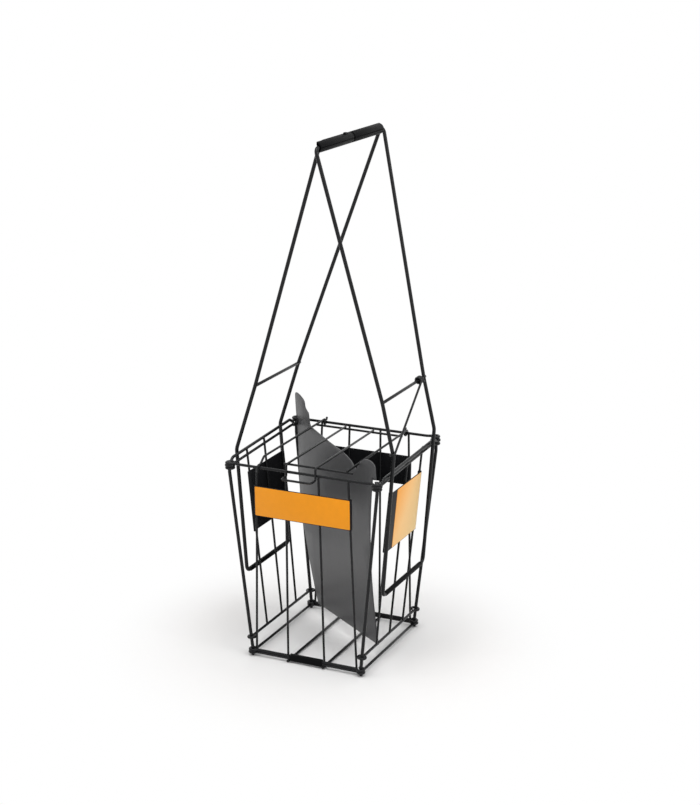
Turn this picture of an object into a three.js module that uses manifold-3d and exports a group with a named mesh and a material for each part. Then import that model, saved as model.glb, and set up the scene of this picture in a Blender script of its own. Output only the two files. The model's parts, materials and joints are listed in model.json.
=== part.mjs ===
// Tennis ball hopper: a tapered basket of coated steel wire with a hinged wire lid, a drop-in
// divider, four label plates, and two handles that fold over to become its legs.
// Millimetres. X runs along the front, Y from front to back, Z up. The origin is on the floor,
// under the middle of the box round the whole hopper.
import * as THREE from "three";
import { mergeVertices } from "three/addons/utils/BufferGeometryUtils.js";
import Module from "manifold-3d";

const wasm = await Module();
wasm.setup();

// Basket
const rimHeight = 330; // middle of the side rim rods over the floor
const rimHalfWidth = 127; // corner post axis at the rim
const rimHalfDepth = 118;
const baseHalfWidth = 96; // corner post axis at the floor
const baseHalfDepth = 108;
const postFootHeight = 13; // upright stretch at a post's foot, where the floor grid grips it
const postHeadLength = 14; // upright stretch at a post's head, where the rims grip it
const postHeadRise = 1.2; // post over the highest wire that it holds
const baseWireHeight = 6.5; // middle of the floor grid's outer wires
const sideRailHeight = 32; // middle of the side panels' lowest wire
const frontUprightTop = [78.5, 28]; // half spacing of the front and back panels' uprights at the rim
const frontUprightFoot = [88.5, 32]; // and at the floor
const sideUprightTop = 59.5; // half spacing of the side panels' outer uprights at the rim
const sideUprightFoot = 53; // and at the side rail
const floorWireHalfSpacing = 31; // inner floor wires
const floorWireOverhang = 5; // their ends past the outer wires

// Wire sizes
const postDiameter = 5;
const rimRodDiameter = 4.5;
const railDiameter = 4;
const uprightDiameter = 3.2;
const lidWireDiameter = 3.2;
const handleDiameter = 5.5;
const crossbarDiameter = 4.5;
const lockRodDiameter = 3.5;
const weldDepth = 0.3; // how far two welded wires sink into each other

// Clearances
const fitGap = 0.3; // between pieces that touch
const eyeGap = 0.45; // round a post or rod in a wire eye
const boreGap = 0.35; // round a wire in a moulded bore
const legGap = 0.8; // between a handle's legs and the rim rod that they slide along

// Lid
const lidWireSpacing = 50; // between neighbouring long wires
const lidBackBarInset = 24.5; // back bar in front of the hinge
const lidFrontBarInset = 6; // front bar behind the front rim
const lidBackBarOverhang = 3; // back bar past the outer long wires
const lidFrontBarOverhang = 9; // front bar past the left latch wire and the right long wire
const lidEndOverhang = 3; // long wires past the bar that they end on
const lidHookSlope = 12; // length over which the hooked wire steps down to the front rim
const hingeTail = 4; // free end of each hinge eye, back and up
const hookDrop = 7; // end of the lid's front hook below the middle of the front rim
const latchDrop = 4; // latch loop below the underside of the front rim
const latchReach = 18; // latch loop in front of its own legs
const latchCorner = 5;

// Label plates
const plateThickness = 1;
const plateLip = 5;
const plateCorner = 1.2;
const frontPlateHeight = 50;
const frontPlateDrop = 35; // upper edge of the front and back plates below the side rim rods
const sidePlateHeight = 100;
const sidePlateDrop = 36; // and of the side plates
const plateEdge = 0.3; // plate past the outer upright, besides its own wall
const labelThickness = 0.5;
const labelInset = 1;

// Divider
const dividerThickness = 2;
const dividerLean = 4.6; // degrees that its foot stands back from the corner-to-corner line
const dividerFoot = 26; // lower edge over the floor
const dividerFootHalfWidth = 104;
const dividerShoulder = 4; // overhang of each ear on the corner eyes
const dividerEdgeGap = 0.8; // sheet's edge to the corner eyes
const frontEarRise = 28; // front ear's top over the rim
const backEarRise = 54; // back ear's top over the rim
const dividerDip = 14; // lowest point of the upper edge below the rim
const dividerDipSteps = 3;
const frontEarShares = [[1, 0.8], [0.97, 0.95], [0.9, 1], [0.78, 0.88], [0.66, 0.52], [0.64, 0.2]];
const dipShares = [[0.6, 0.25], [0.45, -1], [0.26, -0.3], [0.04, 0.1], [-0.17, 0.38], [-0.61, 0.36]];
const backEarShares = [
  [-0.64, 0.16],
  [-0.645, 0.56],
  [-0.67, 0.61],
  [-0.725, 0.7],
  [-0.745, 0.89],
  [-0.84, 0.98],
  [-0.93, 1],
  [-0.97, 0.95],
  [-0.985, 0.8],
];

// Front clip
const clipHalfLength = 28.2;
const clipWall = 1.3;
const clipBite = 1; // clip's lips behind the wires

// Handles
const legHalfSpacing = { left: 76.4, right: 81.7 }; // from the lower bar up to the crossbar
const barHeight = 130; // lower bar's axis over the floor
const barHalfSpread = 121; // lower bar's axis from the middle
const bendHeight = { left: 336, right: 360 }; // where the legs turn inwards
const crossbarHeight = 444;
const gripHeight = 831; // middle of the two half grips, which meet side by side
const gripOffset = 27.2; // their meeting face, right of the middle
const gripSplit = 0.15; // each half grip from the meeting face
const topReach = { left: { front: 100, back: 122 }, right: { front: 127.5, back: 118.5 } }; // tops' corners
const topCorner = 8;
const barCorner = 9;
const legBendRadius = 22;
const kneeRadius = 60; // where a leg flares out above the crossbar
const wireEndGap = 4; // the frame wire's two ends, hidden in the grip
const crossbarOverhang = 6; // crossbar's end past the back leg
const sleeveDiameter = 7.8;
const sleeveEnd = 11; // sleeve's end to the leg's axis

// Grips
const gripRadius = 8.5;
const gripEnd = 1.5; // grip's end to the start of the frame's corner
const gripMiddleGap = 2.5;
const lugSize = [4, 9, 2]; // across, along and above the grip
const lugPlace = 21; // lug's middle from the grip's middle
const lugSink = 1.6;

// Lock rod
const rodEyePlace = 58; // eye's middle along the crossbar
const rodEndRise = 5; // rod's end above the leg's bend
const rodTip = 9; // turned-in end beside the front leg
const rodCorner = 3.5;

// Smoothness
const wireSides = 8;
const thickWireSides = 10;
const bendSteps = 4;
const eyeSteps = 12;
const eyeSides = 6;
const sleeveSides = 20;
const gripSteps = 12;
const sliverSize = 0.02; // the smallest facet kept where wires cross

const black = { color: 0x17181a, roughness: 0.38, metalness: 0.35 };
const steel = new THREE.MeshStandardMaterial({ name: "black_coated_steel", ...black });
const plateBlack = new THREE.MeshStandardMaterial({ name: "black_sheet", color: 0x1c1d1f, roughness: 0.5 });
const labelOrange = new THREE.MeshStandardMaterial({ name: "label", color: 0xf0901c, roughness: 0.4 });
const dividerGrey = new THREE.MeshStandardMaterial({ name: "divider", color: 0x3a3b3d, roughness: 0.42 });
const gripBlack = new THREE.MeshStandardMaterial({ name: "grip_plastic", color: 0x151517, roughness: 0.55 });

const postRadius = postDiameter / 2;
const rimRodRadius = rimRodDiameter / 2;
const railRadius = railDiameter / 2;
const uprightRadius = uprightDiameter / 2;
const lidWireRadius = lidWireDiameter / 2;
const handleRadius = handleDiameter / 2;
const crossbarRadius = crossbarDiameter / 2;
const lockRodRadius = lockRodDiameter / 2;

const vec = (x, y, z) => new THREE.Vector3(x, y, z);
const degrees = THREE.MathUtils.degToRad;

// A wire's centre line: straight runs between corners, each corner rounded to a radius.
class WirePath extends THREE.Curve {
  constructor(corners, radii) {
    super();
    this.places = [corners[0].clone()];
    this.directions = [corners[1].clone().sub(corners[0]).normalize()];
    for (let i = 1; i < corners.length - 1; i += 1) {
      const into = corners[i].clone().sub(corners[i - 1]).normalize();
      const out = corners[i + 1].clone().sub(corners[i]).normalize();
      const turn = into.angleTo(out);
      const radius = Array.isArray(radii) ? radii[i - 1] : radii;
      const setback = radius * Math.tan(turn / 2);
      const axis = into.clone().cross(out).normalize();
      const start = corners[i].clone().addScaledVector(into, -setback);
      const centre = start.clone().addScaledVector(axis.clone().cross(into), radius);
      const steps = Math.max(1, Math.ceil((bendSteps * turn) / (Math.PI / 2)));
      for (let k = 0; k <= steps; k += 1) {
        const angle = (turn * k) / steps;
        this.places.push(start.clone().sub(centre).applyAxisAngle(axis, angle).add(centre));
        this.directions.push(into.clone().applyAxisAngle(axis, angle));
      }
    }
    this.places.push(corners[corners.length - 1].clone());
    this.directions.push(this.places.at(-1).clone().sub(corners.at(-2)).normalize());
  }

  getSpacedPoints() {
    return this.places;
  }

  getTangentAt(share, target = vec(0, 0, 0)) {
    return target.copy(this.directions[Math.round(share * (this.directions.length - 1))]);
  }
}

// A solid wire along rounded corners.
function wire(corners, diameter, radii = 0, sides = wireSides) {
  const path = new WirePath(corners, radii);
  const section = new THREE.Shape();
  for (let i = 0; i < sides; i += 1) {
    const angle = (2 * Math.PI * (i + 1 / 2)) / sides;
    const x = (Math.cos(angle) * diameter) / 2;
    const y = (Math.sin(angle) * diameter) / 2;
    if (i === 0) section.moveTo(x, y);
    else section.lineTo(x, y);
  }
  section.closePath();
  return new THREE.ExtrudeGeometry(section, { extrudePath: path, steps: path.places.length - 1 });
}

// How far apart the middles of two crossed wires lie once they are welded, flat on flat.
const flatShare = Math.cos(Math.PI / wireSides);
const weldedSpacing = (radius, otherRadius) => (radius + otherRadius) * flatShare - weldDepth;

// The middle radius of a wire eye that holds a round bar.
const eyeRadius = (heldRadius, wireRadius) => heldRadius + eyeGap + wireRadius;

// A wire eye whose hole points along the given direction.
function eye(centre, heldRadius, wireRadius, hole = vec(0, 0, 1)) {
  const ring = new THREE.TorusGeometry(eyeRadius(heldRadius, wireRadius), wireRadius, eyeSides, eyeSteps);
  ring.applyQuaternion(new THREE.Quaternion().setFromUnitVectors(vec(0, 0, 1), hole.clone().normalize()));
  return ring.translate(centre.x, centre.y, centre.z);
}

// A geometry as a manifold solid.
function solid(geometry) {
  const bare = geometry.clone();
  bare.deleteAttribute("normal");
  bare.deleteAttribute("uv");
  const merged = mergeVertices(bare);
  return new wasm.Manifold(
    new wasm.Mesh({
      numProp: 3,
      vertProperties: merged.attributes.position.array,
      triVerts: new Uint32Array(merged.index.array),
    }),
  );
}

// A manifold solid as a geometry.
function geometryOf(body) {
  const mesh = body.getMesh();
  const geometry = new THREE.BufferGeometry();
  geometry.setAttribute("position", new THREE.BufferAttribute(mesh.vertProperties, 3));
  geometry.setIndex(new THREE.BufferAttribute(mesh.triVerts, 1));
  const flat = geometry.toNonIndexed();
  flat.computeVertexNormals();
  return flat;
}

// Wires welded into one piece, without the slivers that crossing facets leave.
function welded(geometries) {
  const joined = geometries.map(solid).reduce((sum, next) => sum.add(next));
  return geometryOf(joined.asOriginal().simplify(sliverSize));
}

const hopper = new THREE.Group();

function place(name, geometry, material, parent = hopper) {
  const mesh = new THREE.Mesh(geometry, material);
  mesh.name = name;
  parent.add(mesh);
  return mesh;
}

// Heights of the wires stacked on the corner posts.
const frontRimHeight = rimHeight - rimRodRadius - railRadius - fitGap;
const backRimHeight = rimHeight + rimRodRadius + railRadius + fitGap;
const innerRailHeight = frontRimHeight - railDiameter - fitGap;
const panelFootHeight = baseWireHeight + railDiameter + fitGap;
const postHeadHeight = innerRailHeight - postHeadLength + railDiameter;

// The post's lean starts over its foot and ends under its head.
function postShare(z) {
  return THREE.MathUtils.clamp((z - postFootHeight) / (postHeadHeight - postFootHeight), 0, 1);
}
const postX = (z) => THREE.MathUtils.lerp(baseHalfWidth, rimHalfWidth, postShare(z));
const postY = (z) => THREE.MathUtils.lerp(baseHalfDepth, rimHalfDepth, postShare(z));

// Corner posts, front left round to back left
function addPost(name, sideX, sideY) {
  const top = (sideY < 0 ? rimHeight + rimRodRadius : backRimHeight + railRadius) + postHeadRise;
  const at = (z) => vec(sideX * postX(z), sideY * postY(z), z);
  const corners = [at(0), at(postFootHeight), at(postHeadHeight), at(top)];
  place(name, wire(corners, postDiameter, postDiameter, thickWireSides), steel);
}
addPost("corner_post_front_left", -1, -1);
addPost("corner_post_front_right", 1, -1);
addPost("corner_post_back_right", 1, 1);
addPost("corner_post_back_left", -1, 1);

const railEye = eyeRadius(postRadius, railRadius);

// Front and back panels: rim wire, foot wire and four uprights
function addEndPanel(name, sideY, rim) {
  const rimAt = (x) => vec(x, sideY * rimHalfDepth, rim);
  const footAt = (x) => vec(x, sideY * baseHalfDepth, panelFootHeight);
  const parts = [
    wire([rimAt(railEye - rimHalfWidth), rimAt(rimHalfWidth - railEye)], railDiameter),
    wire([footAt(railEye - baseHalfWidth), footAt(baseHalfWidth - railEye)], railDiameter),
  ];
  for (const side of [-1, 1]) {
    parts.push(eye(rimAt(side * rimHalfWidth), postRadius, railRadius));
    parts.push(eye(footAt(side * baseHalfWidth), postRadius, railRadius));
    frontUprightTop.forEach((top, i) => {
      parts.push(wire([rimAt(side * top), footAt(side * frontUprightFoot[i])], uprightDiameter));
    });
  }
  place(name, welded(parts), steel);
}
addEndPanel("front_panel", -1, frontRimHeight);
addEndPanel("back_panel", 1, backRimHeight);

// Side panels: an outer rim rod, an inner rail below it, three uprights and a lower rail
const rimRodOffset = weldedSpacing(uprightRadius, rimRodRadius);
const rimRodX = rimHalfWidth + rimRodOffset;
const rimRodOuterX = rimRodX + rimRodRadius;

function addSidePanel(name, sideX) {
  const railAt = (y, z) => vec(sideX * postX(z), y, z);
  const rimEyeRadius = eyeRadius(postRadius, rimRodRadius);
  const rimEnd = rimHalfDepth - Math.sqrt(rimEyeRadius ** 2 - rimRodOffset ** 2);
  const footY = postY(sideRailHeight);
  const postDirection = vec(sideX * (rimHalfWidth - baseHalfWidth), 0, postHeadHeight - postFootHeight);
  const rail = (halfLength, z) => wire([railAt(-halfLength, z), railAt(halfLength, z)], railDiameter);
  const parts = [
    wire([vec(sideX * rimRodX, -rimEnd, rimHeight), vec(sideX * rimRodX, rimEnd, rimHeight)], rimRodDiameter),
    rail(rimHalfDepth - railEye, innerRailHeight),
    rail(footY - railEye, sideRailHeight),
  ];
  for (const side of [-1, 1]) {
    const towards = postDirection.clone().setY(side * (rimHalfDepth - baseHalfDepth));
    parts.push(eye(vec(sideX * rimHalfWidth, side * rimHalfDepth, rimHeight), postRadius, rimRodRadius));
    parts.push(eye(railAt(side * rimHalfDepth, innerRailHeight), postRadius, railRadius));
    parts.push(eye(railAt(side * footY, sideRailHeight), postRadius, railRadius, towards));
  }
  for (const share of [-1, 0, 1]) {
    const top = vec(sideX * rimHalfWidth, share * sideUprightTop, rimHeight);
    parts.push(wire([top, railAt(share * sideUprightFoot, sideRailHeight)], uprightDiameter));
  }
  place(name, welded(parts), steel);
}
addSidePanel("left_panel", -1);
addSidePanel("right_panel", 1);

// Floor grid: four outer wires with an eye at each post, and two inner wires under them
function addFloorGrid() {
  const parts = [];
  const innerHeight = baseWireHeight - weldedSpacing(railRadius, railRadius);
  const innerEnd = baseHalfDepth + floorWireOverhang;
  for (const side of [-1, 1]) {
    const frontAt = (x) => vec(x, side * baseHalfDepth, baseWireHeight);
    const sideAt = (y) => vec(side * baseHalfWidth, y, baseWireHeight);
    parts.push(wire([frontAt(railEye - baseHalfWidth), frontAt(baseHalfWidth - railEye)], railDiameter));
    parts.push(wire([sideAt(railEye - baseHalfDepth), sideAt(baseHalfDepth - railEye)], railDiameter));
    const inner = side * floorWireHalfSpacing;
    parts.push(wire([vec(inner, -innerEnd, innerHeight), vec(inner, innerEnd, innerHeight)], railDiameter));
    for (const end of [-1, 1]) {
      parts.push(eye(vec(side * baseHalfWidth, end * baseHalfDepth, baseWireHeight), postRadius, railRadius));
    }
  }
  place("floor_grid", welded(parts), steel);
}
addFloorGrid();

function polygon(points) {
  return new THREE.Shape(points.map(([x, y]) => new THREE.Vector2(x, y)));
}

// Front clip: a moulded channel, open to the back, that holds the panel's foot wire on the grid
function addClip() {
  const inner = railRadius + fitGap;
  const outer = inner + clipWall;
  const low = baseWireHeight - outer;
  const high = panelFootHeight + outer;
  const points = [
    [-outer, low],
    [outer, low],
    [outer, low + clipWall + clipBite],
    [inner, low + clipWall + clipBite],
    [inner, low + clipWall],
    [-inner, low + clipWall],
    [-inner, high - clipWall],
    [inner, high - clipWall],
    [inner, high - clipWall - clipBite],
    [outer, high - clipWall - clipBite],
    [outer, high],
    [-outer, high],
  ];
  const clip = new THREE.ExtrudeGeometry(polygon(points), { depth: 2 * clipHalfLength, bevelEnabled: false });
  clip.translate(0, 0, -clipHalfLength).rotateX(Math.PI / 2).rotateZ(Math.PI / 2);
  place("front_clip", clip, gripBlack).position.y = -baseHalfDepth;
}
addClip();

// Lid: four long wires on two cross bars. The outer two end in eyes round the back rim, the left
// one also hooks over the front rim, and the middle two are one wire that loops out as the latch.
const lidHeight = backRimHeight + eyeRadius(railRadius, lidWireRadius);
const overFrontRim = railRadius + fitGap + lidWireRadius;
const latchHeight = frontRimHeight - railRadius - latchDrop;
const latchFront = rimHalfDepth + overFrontRim + latchReach;

function addLid() {
  const inner = lidWireSpacing / 2;
  const outer = inner + lidWireSpacing;
  const backBar = rimHalfDepth - lidBackBarInset;
  const frontBar = lidFrontBarInset - rimHalfDepth;
  const barHeight = lidHeight - weldedSpacing(lidWireRadius, lidWireRadius);
  const hookFront = -rimHalfDepth - overFrontRim;
  const hookHeight = frontRimHeight + overFrontRim;
  const bar = (left, right, y) => wire([vec(-left, y, barHeight), vec(right, y, barHeight)], lidWireDiameter);
  const parts = [
    bar(outer + lidBackBarOverhang, outer + lidBackBarOverhang, backBar),
    bar(inner + lidFrontBarOverhang, outer + lidFrontBarOverhang, frontBar),
  ];
  for (const x of [-outer, outer]) {
    const hinge = vec(x, rimHalfDepth, backRimHeight);
    parts.push(eye(hinge, railRadius, lidWireRadius, vec(1, 0, 0)));
    const tailEnd = vec(x, rimHalfDepth + hingeTail, lidHeight + hingeTail);
    parts.push(wire([vec(x, rimHalfDepth, lidHeight), tailEnd], lidWireDiameter));
  }
  const plain = [vec(outer, rimHalfDepth, lidHeight), vec(outer, frontBar - lidEndOverhang, lidHeight)];
  parts.push(wire(plain, lidWireDiameter));
  const hooked = [
    vec(-outer, rimHalfDepth, lidHeight),
    vec(-outer, frontBar + lidHookSlope, lidHeight),
    vec(-outer, frontBar, hookHeight),
    vec(-outer, hookFront, hookHeight),
    vec(-outer, hookFront, hookHeight - overFrontRim - hookDrop),
  ];
  parts.push(wire(hooked, lidWireDiameter, [lidWireDiameter, lidWireDiameter, overFrontRim]));
  const leg = (x) => [
    vec(x, backBar + lidEndOverhang, lidHeight),
    vec(x, hookFront, lidHeight),
    vec(x, hookFront, latchHeight),
    vec(x, -latchFront, latchHeight),
  ];
  const looped = [...leg(-inner), ...leg(inner).reverse()];
  const radii = [overFrontRim, lidWireDiameter, latchCorner, latchCorner, lidWireDiameter, overFrontRim];
  parts.push(wire(looped, lidWireDiameter, radii));
  place("lid_frame", welded(parts), steel);
}
addLid();

// A frame on a panel's outside: X along it, Z up its slope from the rim, and -Y straight out of it
function panelFrame(quarterTurns, rimOut, rim, footOut, foot) {
  const turned = new THREE.Group();
  turned.rotation.z = (quarterTurns * Math.PI) / 2;
  const sloped = new THREE.Group();
  sloped.position.set(0, -rimOut, rim);
  sloped.rotation.x = Math.atan((rimOut - footOut) / (rim - foot));
  turned.add(sloped);
  hopper.add(turned);
  return sloped;
}

// A label plate wrapped round two uprights, and the bare orange label on its face
function addPlate(name, panel, uprightAt, rim, top, height) {
  const slope = Math.cos(panel.rotation.x);
  const widest = Math.max(uprightAt(top), uprightAt(top - height)) + uprightRadius;
  const halfWidth = widest + plateEdge + plateThickness;
  const inside = uprightRadius + fitGap;
  const outside = inside + plateThickness;
  const wall = halfWidth - plateThickness;
  const lip = halfWidth - plateLip;
  const points = [
    [plateCorner - halfWidth, -outside],
    [halfWidth - plateCorner, -outside],
    [halfWidth, plateCorner - outside],
    [halfWidth, outside - plateCorner],
    [halfWidth - plateCorner, outside],
    [lip, outside],
    [lip, inside],
    [wall, inside],
    [wall, -inside],
    [-wall, -inside],
    [-wall, inside],
    [-lip, inside],
    [-lip, outside],
    [plateCorner - halfWidth, outside],
    [-halfWidth, outside - plateCorner],
    [-halfWidth, plateCorner - outside],
  ];
  const length = height / slope;
  const sheet = new THREE.ExtrudeGeometry(polygon(points), { depth: length, bevelEnabled: false });
  const foot = (top - height - rim) / slope;
  place(name + "_plate", sheet, plateBlack, panel).position.z = foot;
  const labelWidth = 2 * (halfWidth - plateCorner - labelInset);
  const label = new THREE.BoxGeometry(labelWidth, labelThickness, length - 2 * labelInset);
  const labelOut = outside + fitGap + labelThickness / 2;
  place(name + "_label", label, labelOrange, panel).position.set(0, -labelOut, foot + length / 2);
}

function addEndPlate(name, quarterTurns, rim) {
  const [top, foot] = [frontUprightTop[0], frontUprightFoot[0]];
  const uprightAt = (z) => THREE.MathUtils.mapLinear(z, rim, panelFootHeight, top, foot);
  const panel = panelFrame(quarterTurns, rimHalfDepth, rim, baseHalfDepth, panelFootHeight);
  addPlate(name, panel, uprightAt, rim, rimHeight - frontPlateDrop, frontPlateHeight);
}
addEndPlate("front", 0, frontRimHeight);
addEndPlate("back", 2, backRimHeight);

function addSidePlate(name, quarterTurns) {
  const [top, foot] = [sideUprightTop, sideUprightFoot];
  const uprightAt = (z) => THREE.MathUtils.mapLinear(z, rimHeight, sideRailHeight, top, foot);
  const panel = panelFrame(quarterTurns, rimHalfWidth, rimHeight, postX(sideRailHeight), sideRailHeight);
  addPlate(name, panel, uprightAt, rimHeight, rimHeight - sidePlateDrop, sidePlateHeight);
}
addSidePlate("right", 1);
addSidePlate("left", -1);

// Divider: a loose sheet from the back left corner to the front right one. Its ears stand on the
// corner eyes, and its foot leans towards the back right.
function addDivider() {
  const corner = Math.hypot(rimHalfWidth, rimHalfDepth);
  const shoulder = corner - eyeRadius(postRadius, rimRodRadius) - rimRodRadius - dividerEdgeGap;
  const ear = shoulder + dividerShoulder;
  const backSeat = backRimHeight + railRadius + fitGap - rimHeight;
  const frontSeat = rimRodRadius + fitGap;
  const foot = (dividerFoot - rimHeight) / Math.cos(degrees(dividerLean));
  const outline = new THREE.Shape();
  outline.moveTo(-dividerFootHalfWidth, foot);
  outline.lineTo(dividerFootHalfWidth, foot);
  outline.lineTo(shoulder, frontSeat);
  outline.lineTo(ear, frontSeat);
  frontEarShares.forEach(([x, z]) => outline.lineTo(ear * x, frontEarRise * z));
  outline.splineThru(dipShares.map(([x, z]) => new THREE.Vector2(ear * x, dividerDip * z)));
  backEarShares.forEach(([x, z]) => outline.lineTo(ear * x, backEarRise * z));
  outline.lineTo(-ear, backSeat);
  outline.lineTo(-shoulder, backSeat);
  outline.closePath();
  const options = { depth: dividerThickness, bevelEnabled: false, curveSegments: dividerDipSteps };
  const sheet = new THREE.ExtrudeGeometry(outline, options);
  sheet.translate(0, 0, -dividerThickness / 2).rotateX(Math.PI / 2);
  const diagonal = new THREE.Group();
  diagonal.position.z = rimHeight;
  diagonal.rotation.z = -Math.atan2(rimHalfDepth, rimHalfWidth);
  hopper.add(diagonal);
  place("divider", sheet, dividerGrey, diagonal).rotation.x = degrees(dividerLean);
}
addDivider();

// Handles. Each lower leg leans out just enough to lie against the rim rod.
const legAtRim = rimRodOuterX + legGap + handleRadius;
const legSlope = (legAtRim - barHalfSpread) / (rimHeight - barHeight);

const wireToFace = handleRadius + boreGap + gripSplit;

// Where one handle's wire runs: side is -1 on the left and 1 on the right
function handlePlan(name, side) {
  const spacing = legHalfSpacing[name];
  const reach = topReach[name];
  const top = vec(gripOffset + side * wireToFace, 0, gripHeight);
  const bendHalfSpread = legAtRim + legSlope * (bendHeight[name] - rimHeight);
  const bend = vec(side * bendHalfSpread, 0, bendHeight[name]);
  const share = (crossbarHeight - bend.z) / (top.z - bend.z);
  const crossbar = bend.clone().lerp(top, share);
  const bar = vec(side * barHalfSpread, 0, barHeight);
  return { side, spacing, reach, top, bend, crossbar, bar };
}

const atY = (point, y) => point.clone().setY(y);

// One handle frame: a bent wire whose ends meet inside the grip, and a welded crossbar
function addHandleFrame(name, { spacing, reach, top, bend, crossbar, bar }) {
  const leg = (end, topEnd) => [
    atY(top, (end * wireEndGap) / 2),
    atY(top, end * topEnd),
    atY(crossbar, end * spacing),
    atY(bend, end * spacing),
    atY(bar, end * spacing),
  ];
  const corners = [...leg(-1, reach.front), ...leg(1, reach.back).reverse()];
  const legRadii = [topCorner, kneeRadius, legBendRadius, barCorner];
  const radii = [...legRadii, ...legRadii.toReversed()];
  const crossEnds = [atY(crossbar, -spacing), atY(crossbar, spacing + crossbarOverhang)];
  const parts = [wire(corners, handleDiameter, radii, thickWireSides), wire(crossEnds, crossbarDiameter)];
  place(name + "_handle_frame", welded(parts), steel);
}

// The plastic sleeve that the handle's lower bar turns in
function addSleeve(name, { spacing, bar }) {
  const bore = handleRadius + boreGap;
  const outer = sleeveDiameter / 2;
  const half = spacing - sleeveEnd;
  const profile = [[bore, -half], [outer, -half], [outer, half], [bore, half], [bore, -half]];
  const sleeve = new THREE.LatheGeometry(profile.map(([r, y]) => new THREE.Vector2(r, y)), sleeveSides);
  place(name + "_bar_sleeve", sleeve, gripBlack).position.copy(bar);
}

// Half of a round grip in section, open at its flat face for the wire
function gripSection() {
  const bore = handleRadius + boreGap;
  const flatAngle = Math.asin(gripSplit / gripRadius);
  const outline = new THREE.Shape();
  outline.absarc(0, 0, gripRadius, flatAngle, Math.PI - flatAngle, false);
  outline.lineTo(-bore, gripSplit);
  outline.absarc(0, wireToFace, bore, Math.PI, 0, true);
  outline.lineTo(bore, gripSplit);
  outline.closePath();
  return outline;
}

// A grip in two lengths, front and back of the wire's joint. The right handle's carries the lug.
function addGrips(name, { side, reach }) {
  for (const [end, topEnd] of Object.entries(reach)) {
    const length = topEnd - topCorner - gripEnd - gripMiddleGap / 2;
    const options = { depth: length, bevelEnabled: false, curveSegments: gripSteps };
    const shell = new THREE.ExtrudeGeometry(gripSection(), options);
    const farY = end === "front" ? -gripMiddleGap / 2 : gripMiddleGap / 2 + length;
    const parts = [shell.rotateX(Math.PI / 2).translate(0, farY, 0)];
    if (side > 0 && end === "front") {
      const [across, along, above] = lugSize;
      const lug = new THREE.BoxGeometry(above + lugSink, along, across);
      parts.push(lug.translate(-gripRadius - (above - lugSink) / 2, -lugPlace, gripSplit + across / 2));
    }
    const grip = place(name + "_grip_" + end, welded(parts), gripBlack);
    grip.position.set(gripOffset, 0, gripHeight);
    grip.rotation.y = (side * Math.PI) / 2;
  }
}

// The hooked rod that swings on the right crossbar and rests across the front leg
function addLockRod({ spacing, bend, crossbar }) {
  const up = crossbar.clone().sub(bend).normalize();
  const out = vec(up.z, 0, -up.x);
  const lift = handleRadius + fitGap + lockRodRadius;
  const at = (centre, y, away) => atY(centre, y).addScaledVector(out, away);
  const end = bend.clone().addScaledVector(up, rodEndRise);
  const tipY = -spacing - lift;
  const ring = eye(atY(crossbar, rodEyePlace), crossbarRadius, lockRodRadius, vec(0, 1, 0));
  const ringRadius = eyeRadius(crossbarRadius, lockRodRadius);
  const corners = [at(crossbar, rodEyePlace, ringRadius), at(end, tipY, lift), at(end, tipY, lift - rodTip)];
  place("lock_rod", welded([ring, wire(corners, lockRodDiameter, rodCorner)]), steel);
}

const handles = { left: handlePlan("left", -1), right: handlePlan("right", 1) };
for (const [name, plan] of Object.entries(handles)) {
  addHandleFrame(name, plan);
  addSleeve(name, plan);
  addGrips(name, plan);
}
addLockRod(handles.right);

// The latch loop reaches further than the rim's back eyes do, so the basket stands that much further back.
const frontReach = latchFront + lidWireRadius;
const backReach = rimHalfDepth + eyeRadius(postRadius, rimRodRadius) + rimRodRadius;
hopper.position.y = (frontReach - backReach) / 2;

export default hopper;
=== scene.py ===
import json
import math

import bmesh
import bpy
from bpy.props import FloatProperty, FloatVectorProperty, PointerProperty
from mathutils import Matrix, Vector

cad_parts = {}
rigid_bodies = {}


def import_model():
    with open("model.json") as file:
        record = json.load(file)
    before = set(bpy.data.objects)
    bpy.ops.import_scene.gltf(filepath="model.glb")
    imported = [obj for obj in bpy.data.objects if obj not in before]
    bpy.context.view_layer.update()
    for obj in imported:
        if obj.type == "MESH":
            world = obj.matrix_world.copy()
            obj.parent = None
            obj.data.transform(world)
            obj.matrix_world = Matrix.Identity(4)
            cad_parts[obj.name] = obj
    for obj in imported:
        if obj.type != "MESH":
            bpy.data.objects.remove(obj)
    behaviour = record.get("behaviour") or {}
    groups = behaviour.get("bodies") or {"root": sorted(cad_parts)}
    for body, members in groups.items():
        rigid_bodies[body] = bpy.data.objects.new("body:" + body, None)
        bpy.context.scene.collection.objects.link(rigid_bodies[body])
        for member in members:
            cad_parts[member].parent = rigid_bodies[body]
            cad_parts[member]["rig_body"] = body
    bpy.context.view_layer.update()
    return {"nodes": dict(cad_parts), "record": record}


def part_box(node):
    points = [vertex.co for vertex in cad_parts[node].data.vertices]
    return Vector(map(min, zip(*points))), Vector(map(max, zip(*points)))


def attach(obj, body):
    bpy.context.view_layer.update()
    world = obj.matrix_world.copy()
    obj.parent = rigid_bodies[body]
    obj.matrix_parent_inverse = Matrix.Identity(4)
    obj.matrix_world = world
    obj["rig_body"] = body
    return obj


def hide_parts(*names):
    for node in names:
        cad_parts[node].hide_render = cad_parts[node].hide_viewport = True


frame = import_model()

bl_info = {
    "name": "Tennis ball hopper",
    "version": (1, 0, 0),
    "blender": (4, 5, 0),
    "location": "3D View > Sidebar > Hopper",
    "description": "Builds a wire hopper with a lid, a divider and fold-over handles round its packed model",
    "category": "Object",
}

WHITE = (1, 1, 1, 1)
UP = Vector((0, 0, 1))
SIDES = {"left": -1, "right": 1}
SLOTS = {row["node"]: row["material_slot"] for row in frame["record"]["subparts"]}

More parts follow.
